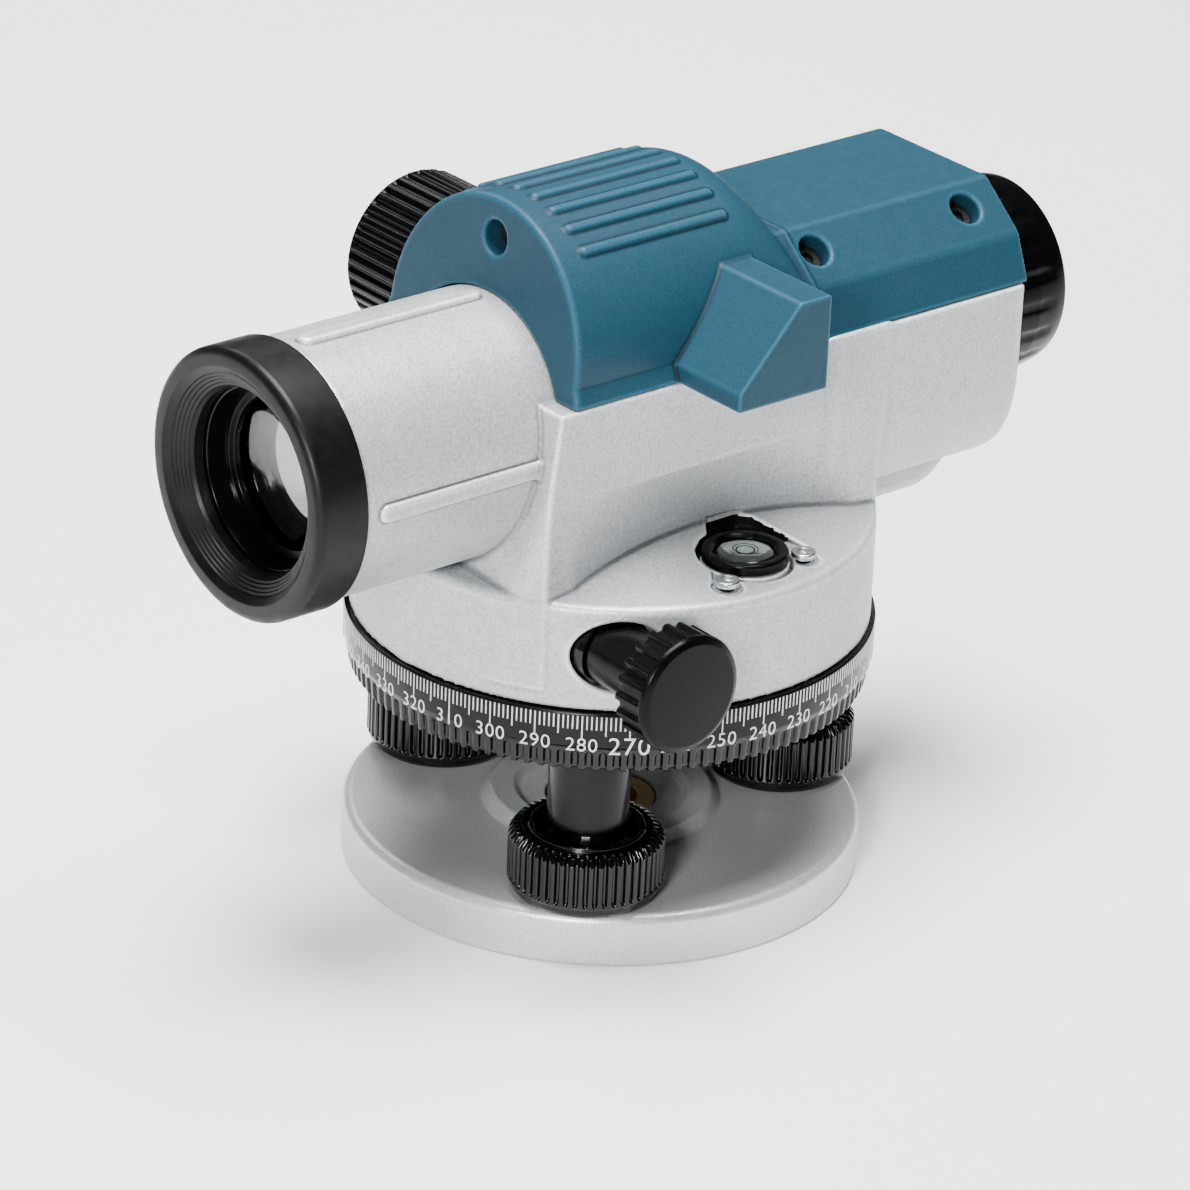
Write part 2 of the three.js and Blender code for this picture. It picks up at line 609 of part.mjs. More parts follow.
// The tangent drive: one worm on a shaft right across the drum, with a knob at each end.
function drive() {
  const at = [0, DRIVE_Y, DRIVE_Z];
  const [start, end] = DRIVE_KNOB_X;
  add("drive_shaft", rod(2.4, -start - 5, start + 5, "x", at, 20), STEEL);
  const turns = 3;
  const thread = [[2.7, -10]];
  for (let i = 0; i < turns; i += 1) {
    const x = -10 + (20 * i) / turns;
    thread.push([3, x], [WORM_R, x + 0.8], [WORM_R, x + 1.4], [3, x + 2.2]);
  }
  thread.push([3, 10], [2.7, 10]);
  add("drive_worm", turned(thread, "x", at, 14), BRASS);
  for (const [side, name] of [[1, "right"], [-1, "left"]]) {
    const grip = ribbedKnob(DRIVE_KNOB_R, 0.9, 16, DRIVE_KNOB_X, 1.2).rotate([0, 90, 0]);
    const core = rod(DRIVE_NECK_R, 40, start + 1, "x");
    const bore = rod(2.7, 39, start + 5.3, "x", [0, 0, 0], 12);
    const knob = grip.add(core).subtract(bore);
    const placed = side > 0 ? knob : knob.rotate([0, 0, 180]);
    add(`drive_knob_${name}`, placed.translate(at), BLACK);
    const bush = sleeve(2.7, DRIVE_HOLE_R - GAP, 34.6, 39.4, "x", [0, 0, 0], 28);
    add(`drive_bush_${name}`, (side > 0 ? bush : bush.rotate([0, 0, 180])).translate(at), BLACK);
  }
}

const vialScrew = ([x, y]) => turned([
  [0, 76.2], [1.3, 76.2], [1.3, VIAL.z + GAP], [2.6, VIAL.z + GAP], [2.6, VIAL.z + 1.6], [1.3, VIAL.z + 1.6],
  [1.3, VIAL.z + 0.9], [0, VIAL.z + 0.9],
], "z", [x, y, 0], 12);

function vial() {
  const at = [VIAL.x, VIAL.y, 0];
  const z = VIAL.z + GAP;
  const ring = turned([
    [6.4, z], [VIAL.r, z], [VIAL.r, z + 1.8], [VIAL.r - 0.7, z + 2.4], [6.8, z + 2.4], [6.4, z + 2],
  ], "z", at, 24);
  add("vial_ring", ring, BLACK);
  add("vial_glass", turned([[0, z], [6.1, z], [6.1, z + 1.6], [4, z + 2.1], [0, z + 2.3]], "z", at, 20), GLASS);
  VIAL_SCREWS.forEach((site, i) => add(`vial_screw_${i + 1}`, vialScrew(site), STEEL));
  const mirror = prismX([[-8.9, 124.6], [4.3, 138.9], [5.1, 138.2], [-8.1, 123.9]], 34, 48.4);
  add("vial_mirror", mirror, paint(0xe8ecee, 0.05, 1));
}

// ---------------------------------------------------------------- assembly

base();
verticalAxis();
add("housing", housing(), SILVER);
const plate = sleeve(HUB_R + 1.5, CAVITY_R - 0.4, DRUM_Z[0] + 0.5, DRUM_Z[0] + 2.3, "z", [0, 0, 0], 48);
add("housing_bottom_plate", plate, DARK_STEEL);
add("top_cover", cover(), TEAL);
SCREW_SITES.forEach((site, i) => add(`cover_screw_${i + 1}`, coverScrew(site), DARK_STEEL));
objective();
focusing();
compensator();
eyepiece();
drive();
vial();

export default model;
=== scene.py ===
"""Looks of the automatic level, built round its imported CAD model.

Shapes are worked out in millimetres with the vertical axis at x = y = 0 and the base on z = 0.
The telescope looks along -y. make() turns them into objects in the model's frame, in metres.
"""

import json
import math

import bpy
import numpy as np
from mathutils import Matrix, Vector


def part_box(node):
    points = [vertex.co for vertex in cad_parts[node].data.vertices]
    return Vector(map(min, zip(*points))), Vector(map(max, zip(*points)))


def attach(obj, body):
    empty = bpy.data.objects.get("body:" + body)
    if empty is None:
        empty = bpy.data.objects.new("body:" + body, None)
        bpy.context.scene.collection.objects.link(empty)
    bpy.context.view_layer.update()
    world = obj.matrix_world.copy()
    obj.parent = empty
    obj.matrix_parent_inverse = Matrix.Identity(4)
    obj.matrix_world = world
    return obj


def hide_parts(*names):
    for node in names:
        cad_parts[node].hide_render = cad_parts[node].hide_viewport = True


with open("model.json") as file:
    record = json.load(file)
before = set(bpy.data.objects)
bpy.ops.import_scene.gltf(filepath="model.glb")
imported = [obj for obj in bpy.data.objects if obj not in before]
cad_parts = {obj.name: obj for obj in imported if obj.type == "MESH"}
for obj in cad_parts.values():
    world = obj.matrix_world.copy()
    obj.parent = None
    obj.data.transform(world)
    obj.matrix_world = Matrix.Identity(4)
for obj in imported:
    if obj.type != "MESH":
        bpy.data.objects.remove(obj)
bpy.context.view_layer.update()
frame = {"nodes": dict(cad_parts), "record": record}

MM = 0.001


def box_mm(node):
    """Lowest and highest corner of a CAD node in the local millimetre frame."""
    low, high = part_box(node)
    return (np.array(low) - SHIFT) / MM, (np.array(high) - SHIFT) / MM


ring_low, ring_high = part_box("horizontal_circle")
SHIFT = np.array([0.0, (ring_low.y + ring_high.y) / 2, 0.0])

RING_LOW, RING_HIGH = box_mm("horizontal_circle")
RING_R = RING_HIGH[0]
BASE_R = box_mm("base_plate")[1][0]
HOOD_LOW, HOOD_HIGH = box_mm("objective_hood")
TEL_Z = (HOOD_LOW[2] + HOOD_HIGH[2]) / 2
EYE_LOW, EYE_HIGH = box_mm("eyepiece_ring")
COVER_LOW, COVER_HIGH = box_mm("top_cover")
HOUSING_LOW, HOUSING_HIGH = box_mm("housing")
VIAL_LOW, VIAL_HIGH = box_mm("vial_ring")
VIAL_AT = (VIAL_LOW + VIAL_HIGH) / 2
VIAL_FLOOR = VIAL_LOW[2] - 0.3
VIAL_SCREWS = [tuple(sum(box_mm(n))[:2] / 2) for n in ("vial_screw_1", "vial_screw_2")]
DRIVE_LOW, DRIVE_HIGH = box_mm("drive_knob_right")
DRIVE_AT = (DRIVE_LOW + DRIVE_HIGH) / 2
DRIVE_R = (DRIVE_HIGH[2] - DRIVE_LOW[2]) / 2
FOCUS_LOW, FOCUS_HIGH = box_mm("focus_knob")
FOCUS_AT = (FOCUS_LOW + FOCUS_HIGH) / 2
FOOT_LOW, FOOT_HIGH = box_mm("foot_knob_1")
FOOT_R = (FOOT_HIGH[0] - FOOT_LOW[0]) / 2

DRUM_R = 54.9
DRUM_TOP = 81.2  # height of the ledge at the drum's edge
DRUM_SLOPE = 0.157  # rise of the ledge for each millimetre inwards
DRUM_CAVITY_R = 49
WAIST_Z = 102.4  # crease where the walls stop flaring out
WAIST_HALF = 32.2
BODY_HALF = 32.5  # half width of the rear barrel
COVER_Z = COVER_LOW[2]
SEAM_Z = COVER_Z - 0.3  # top edge of the housing, a hair under the cover
BODY_REAR = HOUSING_HIGH[1]
TUBE_R = 27.1
BORE_R = 22.0
DRIVE_HOLE_R = 7.9
FOCUS_BOSS_R = 16.2
FOCUS_BOSS_X = (-35.8, -22)
FOCUS_HOLE_R = 8
HUMP_R = 30.2
HUMP_Z = 125.4  # axis of the hump's arch
TAIL_FROM, TAIL_LENGTH = 10, 18  # where the hump starts to fall away to the rear, and over what length
BOX_REAR = COVER_HIGH[1]
BOX_TOP = 140.6
COVER_THICK = 2.2


# ------------------------------------------------------------------ fields


def smin(a, b, k):
    """Smaller of two fields, blended over k millimetres, as a fillet."""
    h = np.clip(0.5 + 0.5 * (b - a) / k, 0, 1)
    return b + (a - b) * h - k * h * (1 - h)


def smax(a, b, k):
    return -smin(-a, -b, k)


def cut(a, b, k=0.8):
    """Field a with b taken out of it, with an edge rounded over k."""
    return smax(a, -b, k)


def slab(v, low, high):
    return np.abs(v - (low + high) / 2) - (high - low) / 2


def cuboid(x, y, z, xs, ys, zs, k=0.6):
    return smax(smax(slab(x, *xs), slab(y, *ys), k), slab(z, *zs), k)


def convex(u, v, points, k=0.6):
    """Convex outline, given counter-clockwise, in the plane of u and v."""
    field = None
    for (u0, v0), (u1, v1) in zip(points, points[1:] + points[:1]):
        length = math.hypot(u1 - u0, v1 - v0)
        side = ((v1 - v0) * (u - u0) - (u1 - u0) * (v - v0)) / length
        field = side if field is None else smax(field, side, k)
    return field


EDGES = [(a, b) for a in range(8) for b in range(a + 1, 8) if bin(a ^ b).count("1") == 1]
CORNERS = np.array([[c & 1, c >> 1 & 1, c >> 2 & 1] for c in range(8)])


def spacing(low, high, step, fine=()):
    """Grid lines from low to high. fine lists (from, to, step) stretches with closer lines."""
    lines = [low]
    while lines[-1] < high:
        here = [s for a, b, s in fine if a <= lines[-1] <= b]
        lines.append(lines[-1] + min([step, *here]))
    return np.array(lines)


def skin(field, axes, step):
    """Mesh of the surface where the field is zero: vertices and quads."""
    shape = tuple(len(a) for a in axes)
    values = field(axes[0][:, None, None], axes[1][None, :, None], axes[2][None, None, :])
    values = np.broadcast_to(values, shape).astype(np.float32)
    inside = values < 0
    count = np.zeros(tuple(n - 1 for n in shape), np.int8)
    for dx, dy, dz in CORNERS:
        count += inside[dx : shape[0] - 1 + dx, dy : shape[1] - 1 + dy, dz : shape[2] - 1 + dz]
    mixed = (count > 0) & (count < 8)
    cells = np.argwhere(mixed)
    index = np.full(mixed.shape, -1, np.int64)
    index[mixed] = np.arange(len(cells))
    corner = np.stack([values[tuple((cells + c).T)] for c in CORNERS], axis=1)
    place = np.zeros((len(cells), 3))
    hits = np.zeros(len(cells))
    for a, b in EDGES:
        fa, fb = corner[:, a], corner[:, b]
        hit = (fa < 0) != (fb < 0)
        t = np.where(hit, fa / np.where(hit, fa - fb, 1), 0)
        place += hit[:, None] * (CORNERS[a] + t[:, None] * (CORNERS[b] - CORNERS[a]))
        hits += hit
    place /= hits[:, None]
    verts = np.stack(
        [a[c] + p * (a[c + 1] - a[c]) for a, c, p in zip(axes, cells.T, place.T)], axis=1
    )
    quads = []
    for axis in range(3):
        u, v = np.eye(3, dtype=int)[(axis + 1) % 3], np.eye(3, dtype=int)[(axis + 2) % 3]
        first = np.take(inside, range(shape[axis] - 1), axis)
        second = np.take(inside, range(1, shape[axis]), axis)
        for outward in (True, False):
            edges = np.argwhere((first & ~second) if outward else (~first & second))
            ring = [edges - u - v, edges - v, edges, edges - u]
            ids = np.stack([index[tuple(c.T)] for c in ring], axis=1)
            quads.append(ids if outward else ids[:, ::-1])
    return settle(field, verts, step), np.concatenate(quads)


def settle(field, verts, step, rounds=3):
    """Moves the vertices onto the surface."""
    d = step * 0.1
    for _ in range(rounds):
        x, y, z = verts.T
        value = field(x, y, z)
        slope = np.stack(
            [
                field(x + d, y, z) - field(x - d, y, z),
                field(x, y + d, z) - field(x, y - d, z),
                field(x, y, z + d) - field(x, y, z - d),
            ],
            axis=1,
        ) / (2 * d)
        size = np.maximum((slope**2).sum(axis=1), 0.05)
        move = slope * (value / size)[:, None]
        far = np.linalg.norm(move, axis=1, keepdims=True)
        verts = verts - move * np.minimum(1, 0.5 * step / np.maximum(far, 1e-9))
    return verts


# ------------------------------------------------------------------ meshes


def make(name, verts, faces, body, nodes=(), material=None, weighted=False):
    """An object from local millimetres, riding on a body and standing for CAD nodes."""
    mesh = bpy.data.meshes.new(name)
    verts = np.asarray(verts, float) * MM + SHIFT
    mesh.from_pydata(verts.tolist(), [], [list(f) for f in faces])
    mesh.validate()
    mesh.shade_smooth()
    piece = bpy.data.objects.new(name, mesh)
    bpy.context.scene.collection.objects.link(piece)
    if material is not None:
        mesh.materials.append(material)
    if weighted:
        piece.modifiers.new("weighted", "WEIGHTED_NORMAL").keep_sharp = True
    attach(piece, body)
    if nodes:
        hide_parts(*nodes)
    return piece


def rounded(points, closed=True, steps=5):
    """Profile with its corners rounded. A point is (r, h) or (r, h, radius)."""
    out = []
    count = len(points)
    for i, point in enumerate(points):
        at = np.array(point[:2], float)
        radius = point[2] if len(point) > 2 else 0
        if radius == 0 or (not closed and i in (0, count - 1)):
            out.append(at)
            continue
        to_a = np.array(points[i - 1][:2]) - at
        to_b = np.array(points[(i + 1) % count][:2]) - at
        length_a, length_b = np.linalg.norm(to_a), np.linalg.norm(to_b)
        to_a, to_b = to_a / length_a, to_b / length_b
        angle = math.acos(np.clip(to_a @ to_b, -1, 1))
        if math.pi - angle < 1e-3:  # a point on a straight line has no corner to round
            out.append(at)
            continue
        reach = min(radius / math.tan(angle / 2), 0.48 * length_a, 0.48 * length_b)
        radius = reach * math.tan(angle / 2)
        middle = (to_a + to_b) / np.linalg.norm(to_a + to_b) * radius / math.sin(angle / 2)
        start, end = to_a * reach - middle, to_b * reach - middle
        turn = math.pi - angle
        for s in range(steps + 1):
            t = s / steps
            arm = (math.sin((1 - t) * turn) * start + math.sin(t * turn) * end) / math.sin(turn)
            out.append(at + middle + arm)
    return np.array(out)


def lathe(profile, closed=True, segments=128, wave=None):
    """Turns a profile of (r, h) rows about z. wave(angle, r, h) gives the change in r."""
    profile = np.asarray(profile, float)
    angle = np.arange(segments) * 2 * math.pi / segments
    r = np.repeat(profile[:, :1], segments, axis=1)
    h = np.repeat(profile[:, 1:2], segments, axis=1)
    if wave is not None:
        r = r + wave(np.broadcast_to(angle, r.shape), r, h)
    verts = np.stack([r * np.cos(angle), r * np.sin(angle), h], axis=2).reshape(-1, 3)
    rows = len(profile)
    faces = []
    s = np.arange(segments)
    t = (s + 1) % segments
    for i in range(rows if closed else rows - 1):
        j = (i + 1) % rows
        near, far = i * segments, j * segments
        faces.append(np.stack([near + s, near + t, far + t, far + s], axis=1))
    faces = [tuple(f) for f in np.concatenate(faces)]
    if not closed:
        faces.append(tuple(reversed(range(segments))))
        faces.append(tuple((rows - 1) * segments + i for i in range(segments)))
    return verts, outward(verts, faces)


def outward(verts, faces):
    """The faces, turned over if the mesh is inside out."""
    volume = 0.0
    for f in faces:
        for a, b in zip(f[1:], f[2:]):
            volume += verts[f[0]] @ np.cross(verts[a], verts[b])
    return faces if volume > 0 else [tuple(reversed(f)) for f in faces]


def along(verts, axis, at=(0, 0, 0)):
    """Turns verts made about z so that their z runs along axis, and moves them to at."""
    x, y, z = np.asarray(verts, float).T
    turned = {"z": (x, y, z), "x": (z, x, y), "y": (y, z, x), "-x": (-z, -x, y)}[axis]
    return np.stack(turned, axis=1) + np.array(at, float)


def joined(*parts):
    """Several (verts, faces) as one."""
    verts, faces, start = [], [], 0
    for v, f in parts:
        verts.append(np.asarray(v, float))
        faces += [tuple(int(i) + start for i in face) for face in f]
        start += len(v)
    return np.concatenate(verts), faces


# ------------------------------------------------------------------ materials


def shader(name, color, rough, metallic=0.0, coat=0.0, coat_rough=0.1, specular=0.5):
    """A material with a Principled shader, and its node tree, shader and object coordinates."""
    material = bpy.data.materials.new(name)
    material.use_nodes = True
    tree = material.node_tree
    principled = tree.nodes["Principled BSDF"]
    principled.inputs["Base Color"].default_value = (*color, 1)
    principled.inputs["Roughness"].default_value = rough
    principled.inputs["Metallic"].default_value = metallic
    principled.inputs["Coat Weight"].default_value = coat
    principled.inputs["Coat Roughness"].default_value = coat_rough
    principled.inputs["Specular IOR Level"].default_value = specular
    coords = tree.nodes.new("ShaderNodeTexCoord")
    return material, tree, principled, coords.outputs["Object"]


def noise(tree, vector, scale, detail=3.0, rough=0.5):
    node = tree.nodes.new("ShaderNodeTexNoise")
    node.inputs["Scale"].default_value = scale
    node.inputs["Detail"].default_value = detail
    node.inputs["Roughness"].default_value = rough
    tree.links.new(vector, node.inputs["Vector"])
    return node.outputs["Fac"]


def spread(tree, value, low, high, from_low=0.3, from_high=0.7):
    """Maps a 0 to 1 value to a range."""
    node = tree.nodes.new("ShaderNodeMapRange")
    node.inputs["From Min"].default_value = from_low
    node.inputs["From Max"].default_value = from_high
    node.inputs["To Min"].default_value = low
    node.inputs["To Max"].default_value = high
    tree.links.new(value, node.inputs["Value"])
    return node.outputs["Result"]


def tint(tree, value, color_a, color_b):
    node = tree.nodes.new("ShaderNodeMix")
    node.data_type = "RGBA"
    node.inputs["A"].default_value = (*color_a, 1)
    node.inputs["B"].default_value = (*color_b, 1)
    tree.links.new(value, node.inputs["Factor"])
    return node.outputs["Result"]


def bump(tree, principled, layers):
    """Stacks bump maps, each (height, strength, distance in metres)."""
    normal = None
    for height, strength, distance in layers:
        node = tree.nodes.new("ShaderNodeBump")
        node.inputs["Strength"].default_value = strength
        node.inputs["Distance"].default_value = distance
        tree.links.new(height, node.inputs["Height"])
        if normal is not None:
            tree.links.new(normal, node.inputs["Normal"])
        normal = node.outputs["Normal"]
    tree.links.new(normal, principled.inputs["Normal"])


def edge_shading(tree, color, amount):
    """Painted highlight on sharp outer edges and painted shade in corners, scaling the colour by the mesh's
    per-vertex bend attribute.
    """
    painted_highlight_shade = tree.nodes.new("ShaderNodeAttribute")
    painted_highlight_shade.attribute_name = "painted_highlight_shade"
    scale = tree.nodes.new("ShaderNodeVectorMath")
    scale.operation = "SCALE"
    tree.links.new(color, scale.inputs[0])
    factor = spread(tree, painted_highlight_shade.outputs["Fac"], 1 - amount, 1 + amount, -1, 1)
    tree.links.new(factor, scale.inputs["Scale"])
    return scale.outputs["Vector"]


def textured(name, dark, light, rough, grain, depth, strength, metallic=0.0, specular=0.5, edges=0.0):
    """Painted, moulded or cast surface: its grain shows in the colour, the gloss and the relief; edges adds
    a painted highlight on outer edges and painted shade in corners.
    """
    material, tree, principled, vector = shader(name, light, rough[0], metallic, specular=specular)
    fine = noise(tree, vector, grain, 2)
    color = tint(tree, spread(tree, fine, 0, 1), dark, light)
    # edges sets how strongly outer edges are lightened as painted highlight and corners darkened as painted
    # shade.
    if edges:
        color = edge_shading(tree, color, edges)
    tree.links.new(color, principled.inputs["Base Color"])
    gloss = spread(tree, noise(tree, vector, grain / 6, 3), *rough)
    tree.links.new(gloss, principled.inputs["Roughness"])
    bump(tree, principled, [(fine, strength, depth)])
    return material


def turned_metal(name, color, rough, metallic=1.0):
    """Lathe-turned metal: fine rings across z."""
    material, tree, principled, vector = shader(name, color, rough, metallic)
    mapping = tree.nodes.new("ShaderNodeMapping")
    mapping.inputs["Scale"].default_value = (40, 40, 6000)
    tree.links.new(vector, mapping.inputs["Vector"])
    rings = noise(tree, mapping.outputs["Vector"], 1, 2)
    dark = [c * 0.8 for c in color]
    stain = spread(tree, noise(tree, vector, 150, 3), 0, 1)
    tree.links.new(tint(tree, stain, dark, color), principled.inputs["Base Color"])
    tree.links.new(spread(tree, rings, rough * 0.7, rough * 1.4), principled.inputs["Roughness"])
    bump(tree, principled, [(rings, 0.25, 0.00002)])
    return material


# SILVER and TEAL carry a painted highlight on outer edges and painted shade in corners, set by edges.
SILVER = textured(
    "silver_paint", (0.29, 0.305, 0.315), (0.44, 0.46, 0.47), (0.36, 0.48), 1500, 0.00014, 0.6,
    metallic=0.35, edges=0.8,
)
CAST = textured(
    "silver_cast", (0.5, 0.515, 0.525), (0.64, 0.66, 0.67), (0.32, 0.42), 1900, 0.0001, 0.5,
    metallic=0.55,
)
TEAL = textured(
    "teal_plastic", (0.008, 0.033, 0.050), (0.011, 0.043, 0.064), (0.38, 0.5), 2200, 0.00004, 0.4,
    specular=0.12, edges=0.9,
)
BLACK = textured(
    "black_plastic", (0.0006, 0.0006, 0.0008), (0.0014, 0.0014, 0.0018), (0.2, 0.3),
    1800, 0.00003, 0.25, specular=0.09,
)
GLOSSY = textured(
    "black_gloss", (0.0006, 0.0006, 0.0008), (0.0012, 0.0012, 0.0016), (0.12, 0.2),
    1800, 0.00002, 0.2, specular=0.3,
)
RUBBER = textured(
    "black_rubber", (0.0014, 0.0016, 0.0018), (0.0028, 0.0032, 0.0036), (0.34, 0.46),
    2200, 0.00003, 0.3, specular=0.16,
)
BLACK_METAL = textured(
    "black_metal", (0.0008, 0.0008, 0.001), (0.0018, 0.0018, 0.0022), (0.14, 0.22),
    3000, 0.00002, 0.2, specular=0.16,
)
# Matt black lining of the bore, also used as painted shade in the well behind the vial.
BORE_AND_PAINTED_SHADE = textured(
    "matt_black", (0.001, 0.001, 0.0012), (0.0025, 0.0025, 0.003), (0.5, 0.7),
    3000, 0.00003, 0.3, specular=0.1,
)
WHITE = textured(
    "white_ink", (0.5, 0.51, 0.52), (0.66, 0.67, 0.67), (0.4, 0.55), 4000, 0.00001, 0.2
)
STEEL = turned_metal("steel", (0.55, 0.56, 0.57), 0.28)
DARK_STEEL = turned_metal("dark_steel", (0.02, 0.02, 0.022), 0.45, 0.6)
BRASS = turned_metal("brass", (0.6, 0.43, 0.19), 0.3)


def glass(name, color, rough, ior):
    material, tree, principled, vector = shader(name, color, rough, coat=1.0, coat_rough=0.02)
    principled.inputs["Transmission Weight"].default_value = 1.0
    principled.inputs["IOR"].default_value = ior
    bump(tree, principled, [(noise(tree, vector, 90, 2), 0.02, 0.00002)])
    return material


LENS = glass("lens_glass", (0.95, 0.98, 0.97), 0.02, 1.85)
CLEAR = glass("vial_glass", (0.9, 0.97, 0.93), 0.03, 1.45)


def mirror():
    material, tree, principled, vector = shader("mirror", (0.9, 0.92, 0.93), 0.04, 1.0)
    bump(tree, principled, [(noise(tree, vector, 200, 2), 0.02, 0.00001)])
    return material


MIRROR = mirror()
SLOTS = {
    "silver_paint": SILVER,
    "teal_plastic": TEAL,
    "black_plastic": BLACK,
    "black_rubber": RUBBER,
    "black_metal": BLACK_METAL,
    "dark_steel": DARK_STEEL,
    "steel": STEEL,
    "brass": BRASS,
    "glass": LENS,
    "mirror": MIRROR,
}


# ------------------------------------------------------------------ housing


def drum_field(r, z):
    top = z - (DRUM_TOP + (DRUM_R - r) * DRUM_SLOPE)
    return np.maximum(smax(r - DRUM_R, top, 1.6), HOUSING_LOW[2] - z)


def pedestal_field(x, y, z, r):
    """Waist between drum and telescope: walls that lean in and flare out again at both ends."""
    rise = np.clip((z - DRUM_TOP) / (WAIST_Z - DRUM_TOP), -0.3, 1)
    foot = 25.5 + 9.5 * (y / 45) ** 2
    wall = (np.abs(x) - foot - (WAIST_HALF - foot) * rise) * 0.95
    upper = np.abs(x) - WAIST_HALF + np.maximum(z - WAIST_Z, 0) * 0.03
    sides = smax(wall, upper, 0.25)
    shoulder = -y - 44.6 + (z - WAIST_Z) * 0.157
    front = np.where(y < 0, shoulder, -30)
    ends = smax(r - DRUM_R, front, 1.2)
    return smax(smax(sides, ends, 0.7), slab(z, 62, SEAM_Z), 0.6)


def barrel_field(x, y, z):
    """Squarish rear barrel, with straight sides above the telescope axis."""
    drop = np.maximum(TEL_Z - z, 0)
    section = (np.abs(x / BODY_HALF) ** 3.3 + (drop / 31.4) ** 3.3 + 1e-9) ** (1 / 3.3)
    shell = (section - 1) * 30
    length = slab(y, 30, BODY_REAR)
    return smax(smax(shell, length, 3.0), z - SEAM_Z, 0.6)


def keel_field(x, y, z):
    """Narrow keel under the rear barrel, rounded where it ends."""
    side = slab(x, -16, 16)
    under = np.hypot(np.maximum(y - 70, 0), np.maximum(83.2 - z, 0)) - 12.0
    return smax(smax(side, smax(under, slab(y, 35, 82), 0.5), 2.5), slab(z, 60, 90), 0.5)


def rib_field(u, y, lift, half=1.9, proud=1.1, ends=(-83.5, -38.5)):
    """Raised rib with round ends along y. u runs across it, lift is the height over the surface."""
    middle = np.clip(y, ends[0] + half, ends[1] - half)
    return smax(np.hypot(u, y - middle) - half, lift - proud, 0.9)


def from_focus_axis(y, z):
    return np.hypot(y - FOCUS_AT[1], z - FOCUS_AT[2])


def focus_boss(x, y, z):
    """Round boss behind the focusing knob, shared by the housing and the cover."""
    return smax(from_focus_axis(y, z) - FOCUS_BOSS_R, slab(x, *FOCUS_BOSS_X), 0.8)


def housing_field(x, y, z):
    r = np.hypot(x, y)
    tel = np.hypot(x, z - TEL_Z)
    body = smin(drum_field(r, z), pedestal_field(x, y, z, r), 0.8)
    body = smin(body, smin(barrel_field(x, y, z), keel_field(x, y, z), 2.5), 2.0)
    tube = smax(tel - TUBE_R, slab(y, -94, 10), 0.6)
    for u, out in ((x, z - TEL_Z), (z - TEL_Z, x), (z - TEL_Z, -x)):
        rib = np.maximum(rib_field(u, y, tel - TUBE_R), -out)
        tube = smin(tube, rib, 0.4)
    body = smin(body, tube, 1.0)
    body = smin(body, np.maximum(focus_boss(x, y, z), z - SEAM_Z), 1.0)

    seat = np.maximum(slab(y, -97, HOOD_HIGH[1] + 0.3), (TUBE_R - 1.6) - tel)
    body = np.maximum(body, -seat)
    body = cut(body, smax(tel - BORE_R, slab(y, -99, 90), 0.5), 0.8)
    body = cut(body, cuboid(x, y, z, (-23, 23), (-6, 72), (TEL_Z - 19, 140)), 0.6)
    body = cut(body, smax(r - DRUM_CAVITY_R, slab(z, 50, 77), 0.6), 0.8)
    drive = np.hypot(y - DRIVE_AT[1], z - DRIVE_AT[2]) - DRIVE_HOLE_R
    body = cut(body, drive, 1.1)
    focus = smax(from_focus_axis(y, z) - FOCUS_HOLE_R, slab(x, -60, -15), 0.5)
    body = cut(body, focus, 0.6)
    return cut(body, pocket_field(x, y, z), 0.5)


def pocket_field(x, y, z):
    """Fan-shaped level floor for the vial, with a round bay for its ring."""
    outline = [(26.8, 2), (46, -12.2), (62, -17), (62, 19), (45.5, 15.8), (30, 13.6), (26.8, 10)]
    fan = convex(x, y, outline, 0.6)
    off_ring = np.hypot(x - VIAL_AT[0], y - VIAL_AT[1])
    ledge = z - DRUM_TOP - (DRUM_R - np.hypot(x, y)) * DRUM_SLOPE - 1.0
    floor = smax(smin(fan, off_ring - 9.9, 0.5), slab(z, VIAL_FLOOR, VIAL_FLOOR + 8), 0.4)
    floor = np.maximum(floor, ledge)
    groove = smax(np.abs(off_ring - 9.7) - 0.55, slab(z, VIAL_FLOOR - 3.2, VIAL_FLOOR + 2), 0.3)
    floor = np.minimum(floor, groove)
    well = convex(x, y, [(26.9, 1), (31.5, -2), (33.5, 11), (26.9, 10)], 0.5)
    well = smax(well, slab(z, VIAL_FLOOR - 4.6, VIAL_FLOOR + 2), 0.4)
    floor = np.minimum(floor, well)
    for sx, sy in VIAL_SCREWS:
        seat = np.hypot(x - sx, y - sy)
        floor = np.minimum(floor, smax(seat - 3.3, slab(z, VIAL_FLOOR - 0.6, VIAL_FLOOR + 4), 0.3))
        floor = np.minimum(floor, np.maximum(seat - 1.6, slab(z, 70, 90)))
    return floor


def dress(piece, second, where):
    """Gives the faces whose centre passes where() a second material."""
    piece.data.materials.append(second)
    centres = np.zeros(len(piece.data.polygons) * 3)
    piece.data.polygons.foreach_get("center", centres)
    centres = (centres.reshape(-1, 3) - SHIFT) / MM
    piece.data.polygons.foreach_set("material_index", where(centres).astype(np.int32))
    piece.data.update()


FINE = 0.7  # grid step of the fields
CLOSE = FINE * 0.6  # grid step round small details
MARGIN = 1.5  # room round a field's node


def edge_tone(field, verts, reach=0.35):
    """How sharply the surface bends at each vertex: up to 1 on outer edges, down to -1 in corners; it drives
    the painted highlight on edges and the painted shade in corners.
    """
    x, y, z = verts.T
    around = -6 * field(x, y, z)
    for d in (-reach, reach):
        around = around + field(x + d, y, z) + field(x, y + d, z) + field(x, y, z + d)
    return np.clip(around / reach**2 * 0.6, -1, 1)


